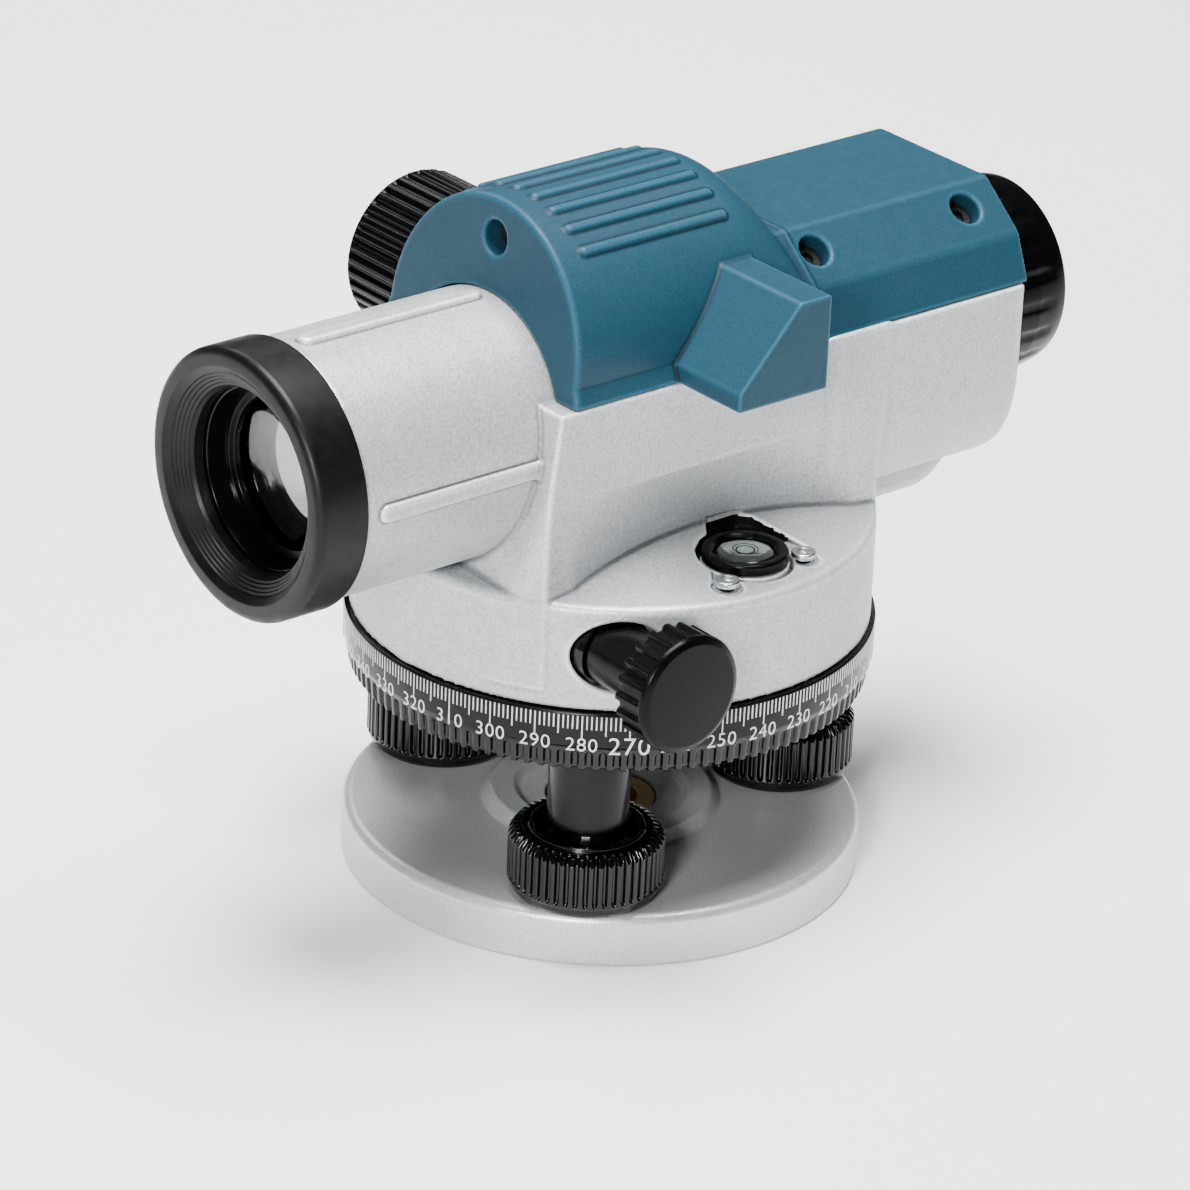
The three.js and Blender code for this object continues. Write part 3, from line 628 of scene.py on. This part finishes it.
def field_piece(name, field, node, fine, material):
    """A moulded or cast piece of the upper part, from its field."""
    low, high = box_mm(node)
    axes = [spacing(low[i] - MARGIN, high[i] + MARGIN, FINE, fine[i]) for i in range(3)]
    verts, quads = skin(field, axes, FINE)
    piece = make(name, verts, quads, "alidade", [node], material)
    # Per-vertex tone for the painted edge highlight and the painted corner shade.
    painted_highlight_shade_layer = piece.data.attributes.new("painted_highlight_shade", "FLOAT", "POINT")
    painted_highlight_shade_layer.data.foreach_set("value", edge_tone(field, verts).astype(np.float32))
    return piece


def in_bore(centres):
    tel = np.hypot(centres[:, 0], centres[:, 2] - TEL_Z)
    inner = (tel < TUBE_R - 2.5) & (centres[:, 1] < BODY_REAR - 1.0)
    return (inner | (tel < BORE_R + 0.35)) & (centres[:, 2] < COVER_Z)


def behind_vial(centres):
    """Faces of the well between the vial and the waist, given matt black as painted shade."""
    x, y, z = centres.T
    ledge = DRUM_TOP + (DRUM_R - np.hypot(x, y)) * DRUM_SLOPE
    fan = (x > 26.3) & (x < 35 + 0.25 * y) & (y > -1 - (x - 27)) & (y < 14.6)
    return fan & (z < ledge - 0.35) & (z > VIAL_FLOOR - 5.5)


HOUSING_FINE = (
    [(24, 58, CLOSE)],
    [(-47, -38, CLOSE), (-18, 21, CLOSE)],
    [(77, 89, CLOSE), (100, 104, CLOSE), (120, 122, CLOSE)],
)
housing = field_piece(
    "housing_cast", housing_field, "housing", HOUSING_FINE, SILVER
)
# The bore is lined matt black; the well behind the vial gets the same black as painted shade.
dress(housing, BORE_AND_PAINTED_SHADE, lambda centres: in_bore(centres) | behind_vial(centres))


# ------------------------------------------------------------------ top cover


def hump_field(x, y, z):
    """Arch over the telescope, squashed to nothing over its tail, as a true distance."""
    up = np.maximum(z - HUMP_Z, 0)
    back = np.clip((y - TAIL_FROM) / TAIL_LENGTH, 0, 0.999)
    squash = np.sqrt(1 - back**2)
    across = np.hypot(x, up / squash)
    steep = np.hypot(1 / squash, up * back / (TAIL_LENGTH * squash**3)) * up / squash
    arch = (across - HUMP_R) / np.maximum(np.hypot(x, steep) / np.maximum(across, 1), 1)
    sides = np.abs(x) - HUMP_R - np.maximum(HUMP_Z - z, 0) * 0.35
    body = np.where(z > HUMP_Z, arch, sides)
    front = (-33.8 - 0.12 * (HUMP_Z + HUMP_R - z) - y) * 0.993
    return smax(smax(body, front, 1.1), y - (TAIL_FROM + TAIL_LENGTH), 0.6)


def box_field(x, y, z):
    """Bevelled box behind the hump."""
    side = (np.abs(x) - 31.6) * 0.93 + (z - COVER_Z) * 0.368
    bevel = (np.abs(x) - 27.6) * 0.641 + (z - 131.5) * 0.768
    roof = smax(smax(side, bevel, 0.5), z - BOX_TOP, 0.5)
    return smax(roof, slab(y, 4, BOX_REAR), 0.9)


WEDGE = [(-11.6, 100), (11.6, 100), (11.6, 141.7), (3.5, 141.7), (-11.6, 125.3)]
MIRROR_SPACE = [(-9.6, 100), (30, 100), (30, 139.7), (4.4, 139.7), (-9.6, 124.5)]
SCREW_HOLES = [
    ((21.3 * side, y, 136.8), (0.641 * side, 0.0, 0.768)) for y in (33, 75) for side in (1, -1)
] + [((0, -34.4, 147.4), (0.0, -1.0, 0.0))]  # place and outward direction
GRIP_RIB_ANGLES = (-38.5, -27.5, -16.5, -5.5, 5.5, 16.5, 27.5, 38.5)


def cover_field(x, y, z):
    hump, chest = hump_field(x, y, z), box_field(x, y, z)
    outer = smin(hump, chest, 0.8)
    wedge = smax(convex(y, z, WEDGE, 0.45), slab(x, 20, COVER_HIGH[0]), 0.45)
    shell = smin(outer, wedge, 0.8)
    across = np.degrees(np.arctan2(x, z - HUMP_Z))
    lift = np.hypot(x, z - HUMP_Z) - HUMP_R
    for angle in GRIP_RIB_ANGLES:
        u = np.radians(across - angle) * HUMP_R
        rib = rib_field(u, y, lift, 1.0, 0.8, (-28, 10))
        shell = smin(shell, np.maximum(rib, HUMP_Z - z), 0.7)
    shell = smin(shell, focus_boss(x, y, z), 0.8)
    shell = np.maximum(shell, -(outer + COVER_THICK))
    for (px, py, pz), (nx, ny, nz) in SCREW_HOLES:
        h = (x - px) * nx + (y - py) * ny + (z - pz) * nz
        rx, ry, rz = x - px - h * nx, y - py - h * ny, z - pz - h * nz
        radial = np.sqrt(rx**2 + ry**2 + rz**2)
        post = np.maximum(smax(radial - 5.2, slab(h, -11, 3), 0.5), outer)
        shell = np.minimum(shell, post)
        shell = cut(shell, smax(radial - 3.6, slab(h, -6, 9), 0.3), 0.7)
        shell = np.maximum(shell, -np.maximum(radial - 1.7, slab(h, -14, 0)))
    space = smax(convex(y, z, MIRROR_SPACE, 0.6), slab(x, 33.6, 48.8), 0.6)
    shell = cut(shell, space, 0.6)
    tel = np.hypot(x, z - TEL_Z)
    shell = cut(shell, np.maximum(tel - TUBE_R - 0.3, slab(y, -60, 4)), 0.6)
    shell = cut(shell, np.maximum(tel - BORE_R, slab(y, 80, 90)), 0.5)
    hole = np.maximum(from_focus_axis(y, z) - FOCUS_HOLE_R, slab(x, -60, -10))
    shell = cut(shell, hole, 0.5)
    return smax(shell, COVER_Z - z, 0.5)


COVER_FINE = (
    [(-22, 22, CLOSE), (26, 52, CLOSE)],
    [(-40, -33, CLOSE), (-12, 12, CLOSE)],
    [(121, 157, CLOSE)],
)
field_piece("cover_moulding", cover_field, "top_cover", COVER_FINE, TEAL)


# ------------------------------------------------------------------ base


def foot_axes():
    """Number and (x, y) of each foot screw."""
    for i in (1, 2, 3):
        low, high = box_mm(f"foot_knob_{i}")
        yield i, (low[:2] + high[:2]) / 2


def base_parts():
    rim, boss_top = BASE_R - 4.5, box_mm("base_plate")[1][2]
    plate = [
        (11.9, 0, 0.3), (17, 0, 0.4), (17, 5.4, 1), (rim, 5.4, 1), (rim, 0, 0.4),
        (BASE_R, 0, 0.9), (BASE_R, 11.6, 2.4), (25.6, 11.6, 1.2), (23.6, boss_top, 1.1),
        (18.6, boss_top, 0.8), (17.6, 12.2, 0.8), (11.9, 12.2, 0.4),
    ]
    verts, faces = lathe(rounded(plate), True, 160)
    make("base_casting", verts, faces, "base", ["base_plate"], CAST, True)

    head = rounded(
        [
            (8.9, 34, 0.4), (11.4, 34, 0.8), (11.4, 45.2, 0.6), (51.5, 46, 0.8), (51.5, 49.6, 0.6),
            (17.8, 49.6, 0.8), (13.8, 54, 0.8), (13.8, 74.6, 0.4), (8.9, 74.6, 0.3),
        ]
    )
    post = rounded([(5.3, 27.4, 0.3), (8.5, 27.4, 0.8), (8.5, 46.5), (5.3, 46.5)])
    verts, faces = lathe(post, True, 64)
    posts = [(along(verts, "z", (x, y, 0)), faces) for _, (x, y) in foot_axes()]
    verts, faces = joined(lathe(head, True, 128), *posts)
    make("levelling_head_turned", verts, faces, "base", ["levelling_head"],
         BLACK_METAL, True)


FOOT_RIBS = 50


def foot_wave(angle, r, h):
    """Straight grooves with round lower ends, open at the top edge."""
    pitch = 2 * math.pi * FOOT_R / FOOT_RIBS
    u = ((angle * FOOT_RIBS / (2 * math.pi)) % 1 - 0.5) * pitch
    half = 0.3 * pitch
    end = FOOT_LOW[2] + 3.0 + half
    reach = np.hypot(u, np.minimum(h - end, 0))
    groove = np.clip((half - reach) / (0.55 * half), 0, 1)
    return -0.95 * groove * np.clip((r - FOOT_R + 2.0) / 0.9, 0, 1)


def foot_knobs():
    r, z0, z1 = FOOT_R, FOOT_LOW[2], FOOT_HIGH[2]
    rows = [(3.5, z0, 0.4), (r - 1.4, z0, 0.6), (r - 0.7, z0 + 1.0, 0.6), (r - 0.4, z0 + 2.2, 0.2)]
    rows += [(r, z0 + 2.7 + 0.25 * i) for i in range(7)]
    rows += [(r, z1 - 2.6), (r, z1 - 1.8, 0.5), (r - 1.1, z1 - 0.4, 0.4), (r - 2.6, z1, 0.5)]
    rows += [(12.6, z1 - 0.2, 0.3), (12.3, z1 - 0.3, 0.2)]
    rows += [(12.2, z1 + 0.5, 0.35), (11.2, z1 + 0.5, 0.35)]
    rows += [(11.0, z1 - 1.0, 0.3), (3.5, z1 - 1.0, 0.3)]
    verts, faces = lathe(rounded(rows, True, 4), True, FOOT_RIBS * 14, foot_wave)
    for i, (x, y) in foot_axes():
        make(f"foot_grip_{i}", along(verts, "z", (x, y, 0)), faces, f"foot_screw_{i}",
             [f"foot_knob_{i}"], GLOSSY)


base_parts()
foot_knobs()


# ------------------------------------------------------------------ graduated circle

NOTCHES = 120
NOTCH_TOP = RING_LOW[2] + 4.4
BAND_FROM = 6.0  # height above the lower edge where the band with the scale starts
MARK_LIFT = (-0.15, 0.035)  # lower and upper side of the marks, from the band's surface


def circle_wave(angle, r, h):
    """Notches with round tops in the lower edge."""
    u = ((angle * NOTCHES / (2 * math.pi)) % 1 - 0.5) * 2 * math.pi * RING_R / NOTCHES
    half = 0.85
    reach = np.hypot(u, np.maximum(h - (NOTCH_TOP - half), 0))
    inside = np.clip((half - reach) / 0.25, 0, 1)
    outer = np.clip((r - RING_R + 3) / 1.0, 0, 1)
    return -1.1 * inside * outer


def circle():
    z0, z1 = RING_LOW[2], RING_HIGH[2]
    rows = [(RING_R - 4.2, z0, 0.3), (RING_R - 1.3, z0, 0.5)]
    rows += [(RING_R - 1.1 + 0.35 * i / 12, z0 + 0.8 + 4.0 * i / 12) for i in range(13)]
    rows += [(RING_R - 0.55, z0 + 5.4, 0.3), (RING_R - 0.1, z0 + BAND_FROM, 0.3), (RING_R, z1, 0.35)]
    rows += [(RING_R - 1.2, z1, 0.2), (39.8, z1, 0.2), (39.8, z1 - 2, 0.2)]
    rows += [(RING_R - 4.2, z1 - 2, 0.5)]
    verts, faces = lathe(rounded(rows, True, 3), True, NOTCHES * 12, circle_wave)
    ring = make("graduated_circle", verts, faces, "circle", ["horizontal_circle"],
                BLACK_METAL)
    dress(ring, GLOSSY, lambda centres: centres[:, 2] < z0 + 5.2)


def ring_radius(z):
    """Outer radius of the circle's upper band at a height."""
    t = (z - RING_LOW[2] - BAND_FROM) / (RING_HIGH[2] - RING_LOW[2] - BAND_FROM)
    return RING_R - 0.1 + 0.1 * t


def on_circle(u, z, angle, lift):
    """Points at arc length u from an angle, on the band."""
    r = ring_radius(z) + lift
    a = angle + u / RING_R
    return np.stack([r * np.cos(a), r * np.sin(a), np.broadcast_to(z, a.shape)], axis=-1)


ZERO_AT = math.radians(54.9 + 270 - 90)  # mark 0, from +x. The degrees fall anticlockwise
TICK_HALF = 0.14
BLOCK_SIDES = ((4, 5, 6, 7), (3, 2, 1, 0), (0, 1, 5, 4), (1, 2, 6, 5), (2, 3, 7, 6), (3, 0, 4, 7))


def tick_marks():
    """A small block for each degree."""
    verts, faces = [], []
    top = RING_HIGH[2] - 0.5
    for degree in range(360):
        angle = ZERO_AT - math.radians(degree)
        length = 5.0 if degree % 10 == 0 else 4.3 if degree % 5 == 0 else 3.0
        low = top - length
        sides = [(-TICK_HALF, top), (TICK_HALF, top), (TICK_HALF, low), (-TICK_HALF, low)]
        start = len(verts)
        for lift in MARK_LIFT:
            verts += [on_circle(np.array(u), z, angle, lift) for u, z in sides]
        faces += [tuple(start + corner for corner in side) for side in BLOCK_SIDES]
    return np.array(verts), faces


def numeral(text, size):
    """Flat outline mesh of a number, centred, in millimetres."""
    curve = bpy.data.curves.new("numeral", "FONT")
    curve.body = text
    curve.size = size
    curve.align_x = "CENTER"
    curve.align_y = "CENTER"
    curve.resolution_u = 4
    curve.extrude = 0.09
    curve.offset = -0.035
    curve.space_character = 1.08
    holder = bpy.data.objects.new("numeral", curve)
    bpy.context.scene.collection.objects.link(holder)
    bpy.context.view_layer.update()
    evaluated = holder.evaluated_get(bpy.context.evaluated_depsgraph_get())
    mesh = bpy.data.meshes.new_from_object(evaluated)
    verts = np.array([v.co for v in mesh.vertices])
    faces = [tuple(p.vertices) for p in mesh.polygons]
    bpy.data.objects.remove(holder)
    bpy.data.curves.remove(curve)
    bpy.data.meshes.remove(mesh)
    middle = (verts[:, 1].max() + verts[:, 1].min()) / 2
    verts[:, 1] -= middle
    return verts, faces


def scale_marks():
    parts = [tick_marks()]
    row = RING_HIGH[2] - 7.0
    for degree in range(0, 360, 10):
        big = degree % 90 == 0
        verts, faces = numeral(str(degree), 5.6 if big else 4.3)
        u, v, w = verts.T
        angle = ZERO_AT - math.radians(degree)
        placed = on_circle(u, row + v, angle, np.where(w > 0, MARK_LIFT[1], MARK_LIFT[0]))
        parts.append((placed, faces))
    verts, faces = joined(*parts)
    make("scale_marks", verts, faces, "circle", (), WHITE)


circle()
scale_marks()


# ------------------------------------------------------------------ telescope ends


def on_telescope(verts):
    return along(verts, "y", (0, 0, TEL_Z))


def hood():
    """Rubber hood with steps inside its mouth."""
    y0, y1 = HOOD_LOW[1], HOOD_HIGH[1]
    r = HOOD_HIGH[0]
    rows = [(25.8, y1, 0.2), (r, y1, 0.5), (r, y0, 4.2), (24.4, y0, 0.8), (23.2, y0 + 0.8, 0.3)]
    steps = 5
    for i in range(steps):
        inner = 23.0 - 3.6 * (i + 1) / steps
        level = y0 + 1.1 + 0.5 * i
        rows += [(inner + 0.5, level, 0.12), (inner + 0.35, level + 0.35, 0.12)]
    rows += [(19.2, y0 + 4.2, 0.3), (19.2, -92.3, 0.2), (25.8, -92.3, 0.2)]
    verts, faces = lathe(rounded(rows, True, 4), True, 160)
    make("hood_rubber", on_telescope(verts), faces, "alidade", ["objective_hood"],
         RUBBER, True)


def objective_parts():
    cell = [(18.6, -92, 0.3), (21.7, -92, 0.3), (21.7, -70, 0.2), (16.2, -70, 0.2)]
    cell += [(16.2, -77, 0.1), (18.2, -77, 0.1), (18.2, -85.2, 0.1), (15.6, -85.9, 0.2)]
    cell += [(15.9, -87.2, 0.2), (17.4, -87.4, 0.2), (17.5, -88.2, 0.2)]
    verts, faces = lathe(rounded(cell, True, 4), True, 128)
    make("lens_cell", on_telescope(verts), faces, "alidade", ["objective_cell"],
         BLACK_METAL, True)
    front = [(r, -86.4 + r * r / 90) for r in np.linspace(0.02, 17.9, 14)]
    back = [(r, -76.2 - r * r / 260) for r in np.linspace(17.9, 0.02, 14)]
    verts, faces = lathe(np.array(front + back), False, 96)
    make("objective_glass", on_telescope(verts), faces, "alidade", ["objective_lens"], LENS)


def eye_wave(angle, r, h):
    """Shallow scalloped grip round the waist of the eyepiece ring."""
    u = np.cos(angle * 20)
    span = np.clip((h - EYE_LOW[1] - 6) / 2, 0, 1) * np.clip((EYE_HIGH[1] - 5 - h) / 2, 0, 1)
    outer = np.clip((r - 18) / 1.5, 0, 1)
    return -0.45 * np.clip(u * 1.6 - 0.3, 0, 1) * span * outer


def eyepiece_parts():
    y0, y1 = EYE_LOW[1], EYE_HIGH[1]
    r = EYE_HIGH[0]
    rows = [(12.3, y0, 0.2), (19.8, y0, 0.6), (21.2, y0 + 4, 0.8), (21.4, y0 + 5.4)]
    rows += [(21.6, y0 + 6.6), (21.7, y0 + 8), (r, y0 + 13, 1.0), (21.7, y1 - 7), (21.6, y1 - 5)]
    rows += [(21.4, y1 - 3.6), (20.9, y1 - 1.2, 1.6), (17.9, y1, 1.2), (10.5, y1, 0.8)]
    rows += [(8, y1 - 2.5, 0.6), (8, y1 - 6, 0.3), (12.3, y1 - 6, 0.3)]
    verts, faces = lathe(rounded(rows, True, 4), True, 240, eye_wave)
    make("eyepiece_grip", on_telescope(verts), faces, "eyepiece",
         ["eyepiece_ring"], BLACK)
    front = [(r, 94.2 + r * r / 40) for r in np.linspace(0.02, 6.7, 10)]
    back = [(r, 99.8 - r * r / 38) for r in np.linspace(6.7, 0.02, 10)]
    verts, faces = lathe(np.array(front + back), False, 64)
    make("eye_glass", on_telescope(verts), faces, "eyepiece_optics", ["eyepiece_lens"], LENS)


hood()
objective_parts()
eyepiece_parts()


# ------------------------------------------------------------------ knobs

FOCUS_RIBS = 36
DRIVE_RIBS = 20
DRIVE_LENGTH = 9.6
DRIVE_NECK_R = 7.0
DRIVE_CAP_R = DRIVE_R - 3


def focus_wave(angle, r, h):
    """Ribs between two plain rims."""
    u = np.cos(angle * FOCUS_RIBS)
    span = np.clip((h - FOCUS_LOW[0] - 1.2) / 0.8, 0, 1)
    span = span * np.clip((FOCUS_HIGH[0] - 2.4 - h) / 0.8, 0, 1)
    return -0.75 * np.clip(u * 1.5 + 0.2, 0, 1) * span * np.clip((r - 15.6) / 1.0, 0, 1)


def drive_wave(angle, r, h):
    """Broad grooves that stop short of the plain end cap."""
    u = (angle * DRIVE_RIBS / (2 * math.pi)) % 1 - 0.5
    groove = np.clip((0.34 - np.abs(u)) / 0.1, 0, 1)
    span = np.clip((DRIVE_HIGH[0] - 1.9 - h) / 0.3, 0, 1)
    return -1.1 * groove * span * np.clip((r - DRIVE_R + 2.6) / 1.2, 0, 1)


def focus_knob():
    x0, x1 = FOCUS_LOW[0], FOCUS_HIGH[0]
    r = (FOCUS_HIGH[2] - FOCUS_LOW[2]) / 2
    rows = [(1.9, x0 + 0.6, 0.2), (10.5, x0 + 0.6, 0.4), (11.5, x0, 0.6), (r - 1.6, x0, 1.2)]
    rows += [(r, x0 + 1.4, 0.8), (r, x0 + 2.4), (r, x0 + 4), (r, x1 - 4), (r, x1 - 2.8)]
    rows += [(r - 0.1, x1 - 2.2, 0.3), (r - 1.9, x1, 0.5), (14, x1, 0.5), (14, x0 + 5, 0.5)]
    rows += [(6, x0 + 5, 0.5), (6, x1 - 1, 0.4), (1.9, x1 - 1, 0.2)]
    verts, faces = lathe(rounded(rows, True, 4), True, FOCUS_RIBS * 10, focus_wave)
    make("focus_grip", along(verts, "x", (0, FOCUS_AT[1], FOCUS_AT[2])), faces, "focus_drive",
         ["focus_knob"], BLACK)


def drive_knobs():
    """The same knob at both ends of the shaft, with a slightly domed cap."""
    r, x1 = DRIVE_R, DRIVE_HIGH[0]
    x0 = x1 - DRIVE_LENGTH
    rows = [(0.02, 60.6), (2.7, 60.6, 0.2), (2.7, 40, 0.2), (DRIVE_NECK_R, 40, 0.3)]
    rows += [(DRIVE_NECK_R, 46), (DRIVE_NECK_R, x0, 0.3), (r - 0.6, x0, 0.3), (r, x0 + 0.5, 0.3)]
    rows += [(r, x1 - d) for d in (7.5, 5.5, 4.0, 3.0, 2.4, 2.2, 2.1, 2.0, 1.9, 1.8)]
    rows += [(r, x1 - 1.5, 0.3), (r - 0.4, x1 - 0.8, 0.5), (r - 1.6, x1 - 0.3, 0.9)]
    rows += [(c, x1 - 0.25 * (c / DRIVE_CAP_R) ** 2) for c in np.linspace(DRIVE_CAP_R, 0.02, 9)]
    verts, faces = lathe(rounded(rows, False, 4), False, DRIVE_RIBS * 16, drive_wave)
    for axis, name, node in (
        ("x", "drive_grip_right", "drive_knob_right"),
        ("-x", "drive_grip_left", "drive_knob_left"),
    ):
        make(name, along(verts, axis, (0, DRIVE_AT[1], DRIVE_AT[2])),
             outward(along(verts, axis), faces), "drive", [node], BLACK)


focus_knob()
drive_knobs()


# ------------------------------------------------------------------ vial


def vial_parts():
    x, y = VIAL_AT[:2]
    z = VIAL_LOW[2]
    ring = [(6.4, z, 0.2), (9.0, z, 0.2), (9.0, z + 2.4, 0.7), (7.3, z + 2.4, 0.3), (6.4, z + 1.7, 0.3)]
    verts, faces = lathe(rounded(ring), True, 96)
    make("vial_bezel", along(verts, "z", (x, y, 0)), faces, "alidade",
         ["vial_ring"], BLACK, True)
    dome = [(0.02, z), (6.1, z)] + [(r, z + 2.25 - r * r / 60) for r in np.linspace(6.1, 0.02, 10)]
    verts, faces = lathe(np.array(dome), False, 64)
    make("vial_dome", along(verts, "z", (x, y, 0)), faces, "alidade", ["vial_glass"],
         CLEAR)
    cup = rounded([(0.02, z - 0.28), (6.1, z - 0.28), (6.1, z - 0.05), (0.02, z - 0.05)], False)
    verts, faces = lathe(cup, False, 64)
    make("vial_cup", along(verts, "z", (x, y, 0)), faces, "alidade", (), LIQUID)
    for name, radius, half, height, off in (
        ("vial_mark", 2.6, 0.12, 0.06, 0),
        ("vial_bubble", 1.9, 0.16, 0.12, 0.35),
    ):
        inner, outer, low, high = radius - half, radius + half, z + 2.1, z + 2.1 + height
        loop = [(inner, low), (outer, low), (outer, high), (inner, high)]
        verts, faces = lathe(np.array(loop), True, 64)
        make(name, along(verts, "z", (x + off, y - off, 0)), faces, "alidade", (),
             BLACK)
    for i, (sx, sy) in enumerate(VIAL_SCREWS):
        head = rounded(
            [(0.02, 76.2), (1.3, 76.2), (1.3, z), (2.6, z, 0.1), (2.6, z + 1.3, 0.35), (1.35, z + 1.3, 0.15),
             (1.3, z + 0.5, 0.1), (0.02, z + 0.4)], False, 3)
        verts, faces = lathe(head, False, 48, socket_wave)
        make(f"vial_screw_head_{i + 1}", along(verts, "z", (sx, sy, 0)), faces, "alidade",
             [f"vial_screw_{i + 1}"], STEEL)


def socket_wave(angle, r, h):
    """Six-sided socket in the screw's head."""
    six = (angle + math.pi / 6) % (math.pi / 3) - math.pi / 6
    flat = 1.25 / np.cos(six) / 1.35
    near = np.clip(1 - np.abs(r - 1.33) / 0.12, 0, 1) * (h > VIAL_LOW[2] + 0.2)
    return r * (flat - 1) * near


LIQUID = textured(
    "vial_liquid", (0.72, 0.76, 0.72), (0.84, 0.87, 0.82), (0.25, 0.4), 3000, 0.00001, 0.1
)
vial_parts()


# ------------------------------------------------------------------ CAD nodes that stay

for name, node in frame["nodes"].items():
    if node.hide_render:
        continue
    slot = next(s["material_slot"] for s in frame["record"]["subparts"] if s["node"] == name)
    node.data.materials.clear()
    node.data.materials.append(SLOTS[slot])
    node.data.shade_smooth()
    bevel = node.modifiers.new("edges", "BEVEL")
    bevel.width = 0.00012
    bevel.segments = 2
    bevel.limit_method = "ANGLE"
    bevel.angle_limit = math.radians(35)
    bevel.harden_normals = True


# ------------------------------------------------------------------ stage, light, camera


LAMP_TARGET = (0, 0, 0.08)


def floor():
    material, tree, principled, vector = shader("floor", (0.86, 0.87, 0.88), 0.75)
    mottle = noise(tree, vector, 3, 2)
    color = tint(tree, spread(tree, mottle, 0, 1), (0.85, 0.86, 0.87), (0.87, 0.875, 0.88))
    tree.links.new(color, principled.inputs["Base Color"])
    mesh = bpy.data.meshes.new("floor")
    half = 6.0
    corners = [(-half, -half, 0), (half, -half, 0), (half, half, 0), (-half, half, 0)]
    mesh.from_pydata(corners, [], [(0, 1, 2, 3)])
    mesh.materials.append(material)
    plane = bpy.data.objects.new("floor", mesh)
    bpy.context.scene.collection.objects.link(plane)


def lamp(name, place, size, watts):
    """An area lamp, aimed at the instrument."""
    light = bpy.data.lights.new(name, "AREA")
    light.shape = "RECTANGLE"
    light.size, light.size_y = size
    light.energy = watts
    holder = bpy.data.objects.new(name, light)
    bpy.context.scene.collection.objects.link(holder)
    holder.location = place
    aim = Vector(LAMP_TARGET) - Vector(place)
    holder.rotation_euler = aim.to_track_quat("-Z", "Y").to_euler()


def studio():
    world = bpy.data.worlds.new("studio")
    bpy.context.scene.world = world
    world.use_nodes = True
    background = world.node_tree.nodes["Background"]
    background.inputs["Color"].default_value = (0.93, 0.96, 1.0, 1)
    background.inputs["Strength"].default_value = 0.07
    lamp("overhead", (-0.05, 0.0, 1.3), (0.8, 0.8), 68)
    lamp("key", (0.75, -1.05, 0.62), (0.25, 0.3), 26)
    lamp("back", (-1.1, 0.3, 1.0), (0.7, 0.4), 5)


AZIMUTH, ELEVATION, ROLL = 49.53, 25.24, 2.574  # degrees
LENS_MM, SENSOR_MM = 183.64, 36.0
CAMERA_FROM_RING = Vector((0.8765, -0.7519, 0.5448))  # metres from the middle of the circle's top


def camera():
    a, e, r = (math.radians(v) for v in (AZIMUTH, ELEVATION, ROLL))
    back = Vector((math.sin(a) * math.cos(e), -math.cos(a) * math.cos(e), math.sin(e)))
    right = Vector((math.cos(a), math.sin(a), 0))
    up = back.cross(right)
    right, up = right * math.cos(r) + up * math.sin(r), up * math.cos(r) - right * math.sin(r)
    data = bpy.data.cameras.new("camera")
    data.lens, data.sensor_width = LENS_MM, SENSOR_MM
    data.clip_start, data.clip_end = 0.05, 30
    holder = bpy.data.objects.new("camera", data)
    bpy.context.scene.collection.objects.link(holder)
    ring_top = Vector(((ring_low.x + ring_high.x) / 2, (ring_low.y + ring_high.y) / 2, ring_high.z))
    turn = Matrix((right, up, back)).transposed()
    holder.matrix_world = Matrix.Translation(ring_top + CAMERA_FROM_RING) @ turn.to_4x4()
    bpy.context.scene.camera = holder


floor()
studio()
camera()
